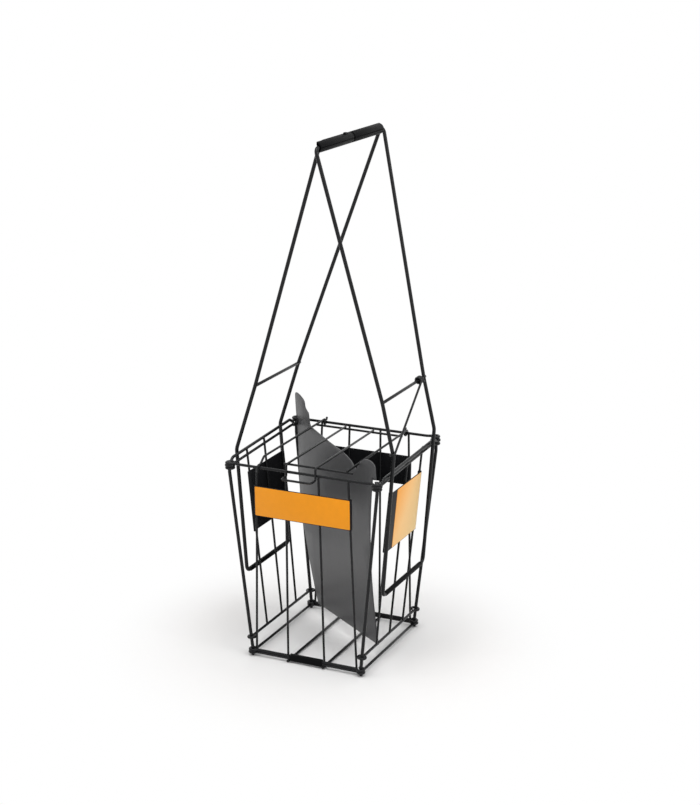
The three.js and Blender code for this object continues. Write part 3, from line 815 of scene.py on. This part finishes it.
class HOPPER_OT_end_panels(bpy.types.Operator):
    """Makes the front and back panels: a rim wire, a foot wire and four uprights"""

    bl_idname = "hopper.end_panels"
    bl_label = "Front and back panels"

    def execute(self, context):
        plan = Plan(context.scene)
        basket, wires = plan.basket, plan.wires
        for name, side_y, rim in (("front", -1, plan.front_rim), ("back", 1, plan.back_rim)):
            out = Vector((0, side_y, 0))
            shape = bmesh.new()
            rim_y, base_y = side_y * basket.rim_half_depth, side_y * basket.base_half_depth
            rows = (
                (basket.rim_half_width, rim_y, rim, basket.end_upright_top),
                (basket.base_half_width, base_y, plan.panel_foot, basket.end_upright_foot),
            )
            for half, y, z, _ in rows:
                ends = []
                for side_x in (-1, 1):
                    along = Vector((side_x, 0, 0))
                    centre = Vector((side_x * half, y, z))
                    drop = wires.rim_drop if z == rim else 0
                    ends.append(eye_end(plan, centre, along, UP, out, wires.post, wires.rail, drop=drop))
                sweep(shape, eyed_wire(*ends), wires.rail)
            for side_x in (-1, 1):
                for k in range(2):
                    ends = [Vector((side_x * spacing[k], y, z)) for _, y, z, spacing in rows]
                    sweep(shape, ends, wires.upright)
                    for point in ends:
                        bead(shape, point, wires.rail, wires.bead / 2)
            add_piece(f"wires_{name}", f"{name}_panel", shape)
        return {"FINISHED"}


class HOPPER_OT_side_panels(bpy.types.Operator):
    """Makes the side panels: a rim rod, an inner rail, a lower rail and three uprights"""

    bl_idname = "hopper.side_panels"
    bl_label = "Side panels"

    def execute(self, context):
        plan = Plan(context.scene)
        basket, wires = plan.basket, plan.wires
        rim_x, rim_y, rim_z = basket.rim_half_width, basket.rim_half_depth, basket.rim_height
        rail_z, inner_z = basket.side_rail_height, plan.inner_rail
        lean, depth_lean = rim_x - basket.base_half_width, rim_y - basket.base_half_depth
        rise = plan.post_head - basket.post_foot
        for name, side_x in SIDES.items():
            out = Vector((side_x, 0, 0))
            shape = bmesh.new()
            rods = (
                (rim_x, rim_y, rim_z, wires.rim_rod, plan.rim_rod_offset, wires.rod_drops),
                (plan.post_x(inner_z), rim_y, inner_z, wires.rail, 0, wires.rail_drops),
                (plan.post_x(rail_z), plan.post_y(rail_z), rail_z, wires.rail, 0, (0, 0)),
            )
            for x, y, z, diameter, offset, drops in rods:
                ends = []
                raised = (0, 0 if z == rail_z else wires.back_rise)
                for side_y, drop, raise_by in zip((-1, 1), drops, raised):
                    leaning = Vector((side_x * lean, side_y * depth_lean, rise))
                    hole = leaning if z == rail_z else UP
                    centre = Vector((side_x * x, side_y * y, z + raise_by))
                    along = Vector((0, side_y, 0))
                    bend = drop + raise_by
                    ends.append(eye_end(plan, centre, along, hole, out, wires.post, diameter, offset, bend))
                sweep(shape, eyed_wire(*ends), diameter)
            for step in (-1, 0, 1):
                top_y = step * basket.side_upright_top
                top_z = rim_z + wires.back_rise * (1 + top_y / rim_y) / 2
                top = Vector((side_x * rim_x, top_y, top_z))
                foot = Vector((side_x * plan.post_x(rail_z), step * basket.side_upright_foot, rail_z))
                sweep(shape, [top, foot], wires.upright)
                bead(shape, top + out * plan.rim_rod_offset / 2, wires.upright, wires.bead)
                bead(shape, foot, wires.rail, wires.bead / 2)
            add_piece(f"wires_{name}", f"{name}_panel", shape)
        return {"FINISHED"}


class HOPPER_OT_floor_grid(bpy.types.Operator):
    """Makes the floor: four outer wires with a collar at each post, and two inner wires under them"""

    bl_idname = "hopper.floor_grid"
    bl_label = "Floor grid"

    def execute(self, context):
        plan = Plan(context.scene)
        basket, wires = plan.basket, plan.wires
        half_x, half_y, z = basket.base_half_width, basket.base_half_depth, basket.base_wire_height
        collar = plan.eye_radius(wires.post, wires.rail)
        inner_z = z - plan.welded_spacing(wires.rail, wires.rail)
        inner_end = half_y + basket.floor_wire_overhang
        shape = bmesh.new()
        for side in (-1, 1):
            front = [Vector((x * (half_x - collar), side * half_y, z)) for x in (-1, 1)]
            flank = [Vector((side * half_x, y * (half_y - collar), z)) for y in (-1, 1)]
            x = side * basket.floor_wire_spacing
            inner = [Vector((x, -inner_end, inner_z)), Vector((x, inner_end, inner_z))]
            for line in (front, flank, inner):
                sweep(shape, line, wires.rail)
            for point in (*front, *flank):
                bead(shape, point, wires.rail, wires.bead / 2)
            for end in (-1, 1):
                ring(shape, plan, Vector((side * half_x, end * half_y, z)), wires.post, wires.rail)
                bead(shape, Vector((x, end * half_y, (z + inner_z) / 2)), wires.rail, wires.bead / 2)
        add_piece("floor_wires", "floor_grid", shape)
        return {"FINISHED"}


class HOPPER_OT_front_clip(bpy.types.Operator):
    """Moulds the clip that holds the front panel's foot wire on the floor grid"""

    bl_idname = "hopper.front_clip"
    bl_label = "Front clip"

    def execute(self, context):
        plan = Plan(context.scene)
        sizes = plan.plates
        inner = plan.rail_radius + plan.wires.fit_gap
        outer = inner + sizes.clip_wall
        low = plan.basket.base_wire_height - outer
        high = plan.panel_foot + outer
        bite, wall = sizes.clip_bite, sizes.clip_wall
        half = [(-outer, low), (outer, low), (outer, low + wall + bite), (inner, low + wall + bite)]
        half += [(inner, low + wall), (-inner, low + wall)]
        points = half + [(x, high + low - z) for x, z in half[:0:-1]] + [(-outer, high)]
        radii = list(sizes.clip_radii)
        outline = rounded_outline(flat(points), radii + radii[::-1])
        turn = Matrix.Rotation(math.pi / 2, 4, "Z") @ STAND
        place = Matrix.Translation((0, -plan.basket.base_half_depth, 0)) @ turn
        shape = bmesh.new()
        length_shift = Matrix.Translation((0, 0, -sizes.clip_half_length))
        prism(shape, outline, 2 * sizes.clip_half_length, wall / 3, place @ length_shift)
        add_piece("foot_clip", "front_clip", shape)
        return {"FINISHED"}


class HOPPER_OT_lid(bpy.types.Operator):
    """Bends the lid: long wires on two bars, coiled hinge eyes, a front hook and the latch loop"""

    bl_idname = "hopper.lid"
    bl_label = "Lid"

    def execute(self, context):
        plan = Plan(context.scene)
        sizes, wires, basket = plan.lid, plan.wires, plan.basket
        wire = wires.lid
        lid_z = plan.back_rim + plan.eye_radius(wires.rail, wire)
        over = plan.rail_radius + wires.fit_gap + wire / 2 + wires.coat
        inner, outer = sizes.spacing / 2, sizes.spacing * 3 / 2
        back_bar = basket.rim_half_depth - sizes.back_bar_inset
        front_bar = sizes.front_bar_inset - basket.rim_half_depth
        bar_z = lid_z - plan.welded_spacing(wire, wire)
        hook_y = -basket.rim_half_depth - over
        hook_z = plan.front_rim + over
        latch_z = plan.front_rim - plan.rail_radius - sizes.latch_drop
        latch_y = -(basket.rim_half_depth + over + sizes.latch_reach) + 2 * wires.coat
        shape = bmesh.new()

        def at(x, y, z):
            return Vector((x, y, z))

        spans = (
            (-outer - sizes.back_bar_overhang, outer + sizes.back_bar_overhang, back_bar),
            (-inner - sizes.front_bar_overhang, outer + sizes.front_bar_overhang, front_bar),
        )
        for left, right, y in spans:
            sweep(shape, [at(left, y, bar_z), at(right, y, bar_z)], wire)

        hooked = [
            at(-outer, hook_y, hook_z - over - sizes.hook_drop),
            at(-outer, hook_y, hook_z),
            at(-outer, front_bar, hook_z),
            at(-outer, front_bar + sizes.hook_slope, lid_z),
            at(-outer, basket.rim_half_depth, lid_z),
        ]
        plain = [at(outer, front_bar - sizes.end_overhang, lid_z), at(outer, basket.rim_half_depth, lid_z)]
        tail = sizes.hinge_tail
        for line in (bent(hooked, [over, 2 * wire, 2 * wire]), plain):
            top = line[-1]
            inwards = Vector((-math.copysign(wire + wires.fit_gap, top.x), 0, 0))
            centre = top - Vector((0, 0, plan.eye_radius(wires.rail, wire)))
            coil = circled(top, centre, Vector((-1, 0, 0)), 2 * math.pi, inwards)
            end = bent([coil[-1], coil[-1] + at(0, tail / 2, 0), coil[-1] + at(0, tail, tail)], wire / 3)
            sweep(shape, line[:-1] + coil + end[1:], wire)

        leg = [
            at(1, back_bar + sizes.end_overhang, lid_z),
            at(1, hook_y, lid_z),
            at(1, hook_y, latch_z),
            at(1, latch_y, latch_z),
        ]
        left_leg = [at(-inner, p.y, p.z) for p in leg]
        right_leg = [at(inner, p.y, p.z) for p in leg]
        radii = [over, wire, sizes.latch_corner]
        sweep(shape, bent(left_leg + right_leg[::-1], radii + radii[::-1]), wire)
        for x in (-outer, -inner, inner, outer):
            bead(shape, at(x, back_bar, (lid_z + bar_z) / 2), wire, wires.bead / 2)
            if x > -outer:
                bead(shape, at(x, front_bar, (lid_z + bar_z) / 2), wire, wires.bead / 2)
        add_piece("lid_wires", "lid_frame", shape)
        return {"FINISHED"}


class PanelSide:
    """One side of the basket, as its label plate sees it."""

    def __init__(self, plan, name):
        basket, sizes = plan.basket, plan.plates
        if name in ("front", "back"):
            rim = plan.front_rim if name == "front" else plan.back_rim
            rim_out, foot_out, foot = basket.rim_half_depth, basket.base_half_depth, plan.panel_foot
            tops = basket.end_upright_top[0], basket.end_upright_foot[0]
            drop, height = sizes.end_drop, sizes.end_height
        else:
            rim = basket.rim_height
            foot = basket.side_rail_height
            rim_out, foot_out = basket.rim_half_width, plan.post_x(foot)
            tops = basket.side_upright_top, basket.side_upright_foot
            drop, height = sizes.side_drop, sizes.side_height
        top = basket.rim_height - drop
        slope = math.atan((rim_out - foot_out) / (rim - foot))
        spreads = [tops[0] + (tops[1] - tops[0]) * (rim - z) / (rim - foot) for z in (top, top - height)]
        self.half_width = max(spreads) + plan.wires.upright / 2 + sizes.edge + sizes.thickness
        self.inside = plan.wires.upright / 2 + plan.wires.fit_gap
        self.outside = self.inside + sizes.thickness
        self.length = height / math.cos(slope)
        turn = Matrix.Rotation(QUARTERS[name] * math.pi / 2, 4, "Z")
        rim_place = Matrix.Translation((0, -rim_out, rim))
        foot_place = Matrix.Translation((0, 0, (top - height - rim) / math.cos(slope)))
        self.place = turn @ rim_place @ Matrix.Rotation(slope, 4, "X") @ foot_place


class HOPPER_OT_plates(bpy.types.Operator):
    """Folds the four label plates round the uprights"""

    bl_idname = "hopper.plates"
    bl_label = "Label plates"

    def execute(self, context):
        plan = Plan(context.scene)
        sizes = plan.plates
        for name in QUARTERS:
            side = PanelSide(plan, name)
            half, lip = side.half_width, side.half_width - sizes.lip
            wall = half - sizes.thickness
            fold, inner_fold = sizes.fold, sizes.fold - sizes.thickness
            right = [
                ((half, -side.outside), fold),
                ((half, side.outside), fold),
                ((lip, side.outside), sizes.thickness / 3),
                ((lip, side.inside), sizes.thickness / 3),
                ((wall, side.inside), inner_fold),
                ((wall, -side.inside), inner_fold),
            ]
            left = [((-x, y), radius) for (x, y), radius in right[::-1]]
            points, radii = zip(*right, *left)
            outline = rounded_outline(flat(points), radii)
            shape = bmesh.new()
            prism(shape, outline, side.length, sizes.thickness / 4, side.place)
            add_piece(f"sheet_{name}", f"{name}_plate", shape)
        return {"FINISHED"}


class HOPPER_OT_labels(bpy.types.Operator):
    """Lays the bare label film on each plate"""

    bl_idname = "hopper.labels"
    bl_label = "Labels"

    def execute(self, context):
        plan = Plan(context.scene)
        sizes = plan.plates
        for name in QUARTERS:
            side = PanelSide(plan, name)
            margins = [sizes.corner + sizes.label_inset] * 2
            if name in SIDES:
                margins = list(sizes.side_margins)[:: SIDES[name]]
            left, right = margins[0] - side.half_width, side.half_width - margins[1]
            low, high = sizes.label_inset, side.length - sizes.label_inset
            corners = flat(((left, low), (right, low), (right, high), (left, high)))
            outline = rounded_outline(corners, sizes.label_corner)
            face_out = Matrix.Translation((0, -side.outside, 0)) @ STAND
            shape = bmesh.new()
            prism(shape, outline, sizes.label_thickness, sizes.label_thickness / 3, side.place @ face_out)
            add_piece(f"film_{name}", f"{name}_label", shape)
        return {"FINISHED"}


class HOPPER_OT_divider(bpy.types.Operator):
    """Cuts the divider sheet, with an ear on each corner and a dip between them"""

    bl_idname = "hopper.divider"
    bl_label = "Divider"

    def execute(self, context):
        plan = Plan(context.scene)
        sizes, basket, wires = plan.divider, plan.basket, plan.wires
        corner = math.hypot(basket.rim_half_width, basket.rim_half_depth)
        eye = plan.eye_radius(wires.post, wires.rim_rod)
        shoulder = corner - eye - plan.rim_rod_radius - sizes.edge_gap
        ear = shoulder + sizes.shoulder
        back_seat = plan.back_rim + plan.rail_radius + wires.fit_gap - basket.rim_height
        front_seat = plan.rim_rod_radius + wires.fit_gap
        foot = sizes.foot - basket.rim_height
        upper = [(ear * x, sizes.front_ear * z) for x, z in FRONT_EAR_SHARES]
        upper += [(ear * x, sizes.dip * z) for x, z in DIP_SHARES]
        upper += [(ear * x, sizes.back_ear * z) for x, z in BACK_EAR_SHARES]
        upper = [(ear, front_seat), *upper, (-ear, back_seat)]
        back_reach, back_height = sizes.back_bend
        notched = shoulder - sizes.front_notch
        lower = [(-shoulder, back_seat), (-back_reach, back_height - basket.rim_height)]
        lower += [(-sizes.foot_half_width, foot), (sizes.foot_half_width, foot)]
        lower += [(notched, -front_seat), (notched, front_seat)]
        outline = through(flat(upper)) + flat(lower)
        diagonal = -math.atan2(basket.rim_half_depth, basket.rim_half_width)
        place = Matrix.Translation((0, 0, basket.rim_height)) @ Matrix.Rotation(diagonal, 4, "Z") @ STAND
        shape = bmesh.new()
        middle = Matrix.Translation((0, 0, -sizes.thickness / 2))
        prism(shape, outline, sizes.thickness, sizes.thickness / 5, middle)
        self.twist(shape, sizes, ear, foot)
        shape.transform(place)
        add_piece("divider_panel", "divider", shape)
        return {"FINISHED"}

    def twist(self, shape, sizes, half, foot):
        """Cuts the sheet into strips, leans its ears and pushes the front end of its foot back."""
        columns, rows = 5, 12
        cuts = [(Vector((half * k / columns, 0, 0)), Vector((1, 0, 0))) for k in range(1 - columns, columns)]
        cuts += [(Vector((0, foot * k / rows, 0)), Vector((0, 1, 0))) for k in range(rows)]
        for point, normal in cuts:
            parts = [*shape.verts, *shape.edges, *shape.faces]
            bmesh.ops.bisect_plane(shape, geom=parts, plane_co=point, plane_no=normal, dist=CUT_TOLERANCE)
        for vert in shape.verts:
            rise = max(vert.co.y, 0) * math.tan(sizes.lean)
            depth = max(vert.co.y / foot, 0)
            share = (half + vert.co.x) / (half + sizes.foot_half_width)
            vert.co.z += rise - sizes.foot_push * depth**2 * share


class HOPPER_OT_sleeves(bpy.types.Operator):
    """Turns the plastic sleeves of the lower bars"""

    bl_idname = "hopper.sleeves"
    bl_label = "Sleeves"

    def execute(self, context):
        plan = Plan(context.scene)
        sizes, wires = plan.handles, plan.wires
        bore = wires.handle / 2 + wires.bore_gap
        outer = sizes.sleeve / 2
        soft = (outer - bore) / 2
        for name in SIDES:
            handle = HandlePlan(plan, name)
            half = handle.spacing - sizes.sleeve_end
            end = [(bore, half - soft / 2), (bore + soft / 2, half), (outer - soft, half)]
            end += [(outer - soft / 4, half - soft / 3), (outer, half - soft)]
            profile = end + [(radius, -y) for radius, y in end[::-1]]
            shape = bmesh.new()
            lathe(shape, profile, Matrix.Translation(handle.bar) @ STAND)
            add_piece(f"sleeve_{name}", f"{name}_bar_sleeve", shape)
        return {"FINISHED"}


class HOPPER_OT_handle_frames(bpy.types.Operator):
    """Bends the two handle frames and welds on their crossbars"""

    bl_idname = "hopper.handle_frames"
    bl_label = "Handle frames"

    def execute(self, context):
        plan = Plan(context.scene)
        sizes, wires = plan.handles, plan.wires
        for name in SIDES:
            handle = HandlePlan(plan, name)
            bends = (handle.crossbar, handle.bend, handle.bar)
            legs = []
            for end in (-1, 1):
                leg = [at_y(handle.top, end * y) for y in (sizes.wire_end_gap / 2, handle.reach[end])]
                leg += [at_y(point, end * handle.spacing) for point in bends]
                legs.append(leg)
            radii = [sizes.top_corner, sizes.knee_radius, sizes.bend_radius, sizes.bar_corner]
            shape = bmesh.new()
            corners = legs[0] + legs[1][::-1]
            sweep(shape, bent(corners, radii + radii[::-1]), wires.handle, sides=THICK_WIRE_SIDES)
            cross_ends = (-handle.spacing, handle.spacing + sizes.crossbar_overhang)
            sweep(shape, [at_y(handle.crossbar, y) for y in cross_ends], wires.crossbar)
            for end in (-1, 1):
                bead(shape, at_y(handle.crossbar, end * handle.spacing), wires.handle, wires.bead / 2)
            add_piece(f"handle_wire_{name}", f"{name}_handle_frame", shape)
        return {"FINISHED"}


class HOPPER_OT_grips(bpy.types.Operator):
    """Moulds the half grips, in two lengths on each handle, and the lug on the right one"""

    bl_idname = "hopper.grips"
    bl_label = "Grips"

    def section(self, sizes, wires, wire_to_face):
        """Half of the grip seen from its end, open at its flat face for the wire."""
        bore, radius = wires.handle / 2 + wires.bore_gap, sizes.grip_radius
        width, depth = sizes.groove
        start = math.asin(sizes.grip_split / radius)
        groove = math.asin(width / 2 / radius)
        quarter = math.pi / 2 - groove
        arc = [start + (quarter - start) * k / GRIP_STEPS for k in range(GRIP_STEPS + 1)]
        right = [(radius * math.cos(t), radius * math.sin(t)) for t in arc]
        right += [(width * x, radius - depth * y) for x, y in GROOVE_SHARES]
        left = [(-x, y) for x, y in right[::-1]]
        turns = [math.pi * k / GRIP_STEPS for k in range(GRIP_STEPS + 1)]
        channel = [(-bore * math.cos(t), wire_to_face + bore * math.sin(t)) for t in turns]
        mouth = [(-bore, sizes.grip_split), *channel, (bore, sizes.grip_split)]
        return flat(right + left + mouth)

    def execute(self, context):
        plan = Plan(context.scene)
        sizes, wires = plan.handles, plan.wires
        for name, side in SIDES.items():
            handle = HandlePlan(plan, name)
            gap = sizes.grip_middle_gap / 2
            turn = Matrix.Rotation(side * math.pi / 2, 4, "Y")
            middle = Matrix.Translation((sizes.grip_offset, 0, sizes.grip_height)) @ turn
            outline = self.section(sizes, wires, handle.wire_to_face)
            for end, way in (("front", -1), ("back", 1)):
                shape = bmesh.new()
                long = handle.reach[way] - sizes.top_corner - sizes.grip_end - gap
                far_y = -gap if way < 0 else gap + long
                place = middle @ Matrix.Translation((0, far_y, 0)) @ STAND
                prism(shape, outline, long, sizes.grip_edge, place)
                if side > 0 and end == "front":
                    self.add_lug(shape, sizes, middle)
                add_piece(f"grip_{name}_{end}", f"{name}_grip_{end}", shape)
        return {"FINISHED"}

    def add_lug(self, shape, sizes, middle):
        """Adds the ramped catch on top of the right grip's front length."""
        across, along, above = sizes.lug
        root = sizes.grip_radius - sizes.lug_sink
        points = [(-along / 2, root), (along / 2, root)]
        points += [(along * y, sizes.grip_radius + above * z) for y, z in LUG_SHARES]
        outline = rounded_outline(flat(points), [0, 0] + [above / 4] * len(LUG_SHARES))
        place = middle @ Matrix.Translation((0, -sizes.lug_place, sizes.grip_split))
        prism(shape, outline, across, above / 5, place @ Matrix.Rotation(math.pi / 2, 4, "Z"))


class HOPPER_OT_lock_rod(bpy.types.Operator):
    """Bends the hooked rod that hangs on the right crossbar"""

    bl_idname = "hopper.lock_rod"
    bl_label = "Lock rod"

    def execute(self, context):
        plan = Plan(context.scene)
        sizes, wires = plan.handles, plan.wires
        handle = HandlePlan(plan, "right")
        up = (handle.crossbar - handle.bend).normalized()
        out = Vector((up.z, 0, -up.x))
        radius = plan.eye_radius(wires.crossbar, wires.lock_rod) + 2 * wires.coat
        lift = wires.handle / 2 + wires.fit_gap + wires.lock_rod / 2
        eye = at_y(handle.crossbar, sizes.rod_eye)
        end = at_y(handle.bend + up * sizes.rod_end_rise, -handle.spacing - lift)
        leave = eye + out * radius
        turns = sizes.rod_turns
        coil_shift = Vector((0, turns * (wires.lock_rod + 2 * wires.coat), 0))
        coil = circled(leave, eye, Vector((0, -1, 0)), turns * 2 * math.pi, coil_shift)
        coil.append(coil[-1] + (coil[-1] - coil[-2]).normalized() * sizes.rod_tail)
        corners = [leave, leave - up * wires.lock_rod, end + out * lift, end + out * (lift - sizes.rod_tip)]
        rod = bent(corners, list(sizes.rod_corners))
        shape = bmesh.new()
        sweep(shape, coil[::-1] + rod[1:], wires.lock_rod)
        add_piece("rod_hooked", "lock_rod", shape)
        return {"FINISHED"}


class HOPPER_OT_stage(bpy.types.Operator):
    """Sets up the floor, the soft light and the camera"""

    bl_idname = "hopper.stage"
    bl_label = "Floor, light and camera"

    def execute(self, context):
        scene = context.scene
        stage = scene.hopper_stage
        scene.view_settings.view_transform = "Standard"
        self.add_world(scene, stage)
        self.add_floor(scene, stage)
        for name, place, size, power in LAMPS:
            self.add_lamp(scene, name, place, size, power)
        camera = bpy.data.cameras.new("camera")
        camera.lens = stage.focal_length
        holder = bpy.data.objects.new("camera", camera)
        holder.location = stage.camera_place
        holder.rotation_euler = (math.pi / 2 - stage.elevation, 0, stage.azimuth)
        scene.collection.objects.link(holder)
        scene.camera = holder
        return {"FINISHED"}

    def add_world(self, scene, stage):
        """White where it is seen or mirrored, and a softer level as light."""
        world = bpy.data.worlds.new("room")
        scene.world = world
        graph = Graph(world)
        kinds = ("Is Camera Ray", "Is Glossy Ray", "Is Transmission Ray")
        camera, glossy, transmission = [graph.add("ShaderNodeLightPath", output=kind) for kind in kinds]
        seen = graph.add("ShaderNodeClamp", inputs={"Value": camera + glossy + transmission})
        light, white = [
            graph.add("ShaderNodeBackground", inputs={"Color": WHITE, "Strength": strength})
            for strength in (stage.room_light, 1)
        ]
        mixed = graph.add("ShaderNodeMixShader", inputs={0: seen, 1: light, 2: white})
        graph.surface(mixed, "ShaderNodeOutputWorld")

    def add_floor(self, scene, stage):
        """A pale floor that keeps the shadow and clears to white further out."""
        half = stage.floor_half_width
        mesh = bpy.data.meshes.new("floor")
        corners = [(-half, -half, 0), (half, -half, 0), (half, half, 0), (-half, half, 0)]
        mesh.from_pydata(corners, [], [(0, 1, 2, 3)])
        floor = bpy.data.objects.new("floor", mesh)
        scene.collection.objects.link(floor)
        material = bpy.data.materials.new("floor")
        graph = Graph(material)
        away = graph.add("ShaderNodeVectorMath", {"operation": "LENGTH"}, {0: graph.place()}, "Value")
        clear = graph.between(away, *stage.clear_floor)
        grain = graph.noise(140, 3)
        plain = graph.principled(solid(scene.hopper_finishes.floor), 0.6 + 0.1 * grain, 0.2)
        white = graph.add("ShaderNodeEmission", inputs={"Color": WHITE, "Strength": 1})
        graph.surface(graph.add("ShaderNodeMixShader", inputs={0: clear, 1: plain, 2: white}))
        mesh.materials.append(material)

    def add_lamp(self, scene, name, place, size, power):
        """A square lamp that looks at the middle of the hopper."""
        lamp = bpy.data.lights.new(name, "AREA")
        lamp.size = size
        lamp.energy = power
        holder = bpy.data.objects.new(name, lamp)
        holder.location = place
        holder.rotation_euler = (LAMP_AIM - Vector(place)).to_track_quat("-Z", "Y").to_euler()
        scene.collection.objects.link(holder)


OPERATORS = (
    HOPPER_OT_posts,
    HOPPER_OT_end_panels,
    HOPPER_OT_side_panels,
    HOPPER_OT_floor_grid,
    HOPPER_OT_front_clip,
    HOPPER_OT_lid,
    HOPPER_OT_plates,
    HOPPER_OT_labels,
    HOPPER_OT_divider,
    HOPPER_OT_sleeves,
    HOPPER_OT_handle_frames,
    HOPPER_OT_grips,
    HOPPER_OT_lock_rod,
    HOPPER_OT_stage,
)


class HOPPER_PT_panel(bpy.types.Panel):
    """Lists the hopper's pieces and settings"""

    bl_idname = "HOPPER_PT_panel"
    bl_label = "Tennis ball hopper"
    bl_space_type = "VIEW_3D"
    bl_region_type = "UI"
    bl_category = "Hopper"

    def draw(self, context):
        for operator in OPERATORS:
            self.layout.operator(operator.bl_idname)
        for key, group in GROUPS.items():
            box = self.layout.box()
            box.label(text=group.__doc__)
            for name in group.__annotations__:
                box.prop(getattr(context.scene, key), name)


CLASSES = (*GROUPS.values(), *OPERATORS, HOPPER_PT_panel)


def register():
    for item in CLASSES:
        bpy.utils.register_class(item)
    for key, group in GROUPS.items():
        setattr(bpy.types.Scene, key, PointerProperty(type=group))


def unregister():
    for key in GROUPS:
        delattr(bpy.types.Scene, key)
    for item in reversed(CLASSES):
        bpy.utils.unregister_class(item)


def main():
    register()
    for operator in OPERATORS:
        group, name = operator.bl_idname.split(".")
        getattr(getattr(bpy.ops, group), name)()


if __name__ == "__main__":
    main()
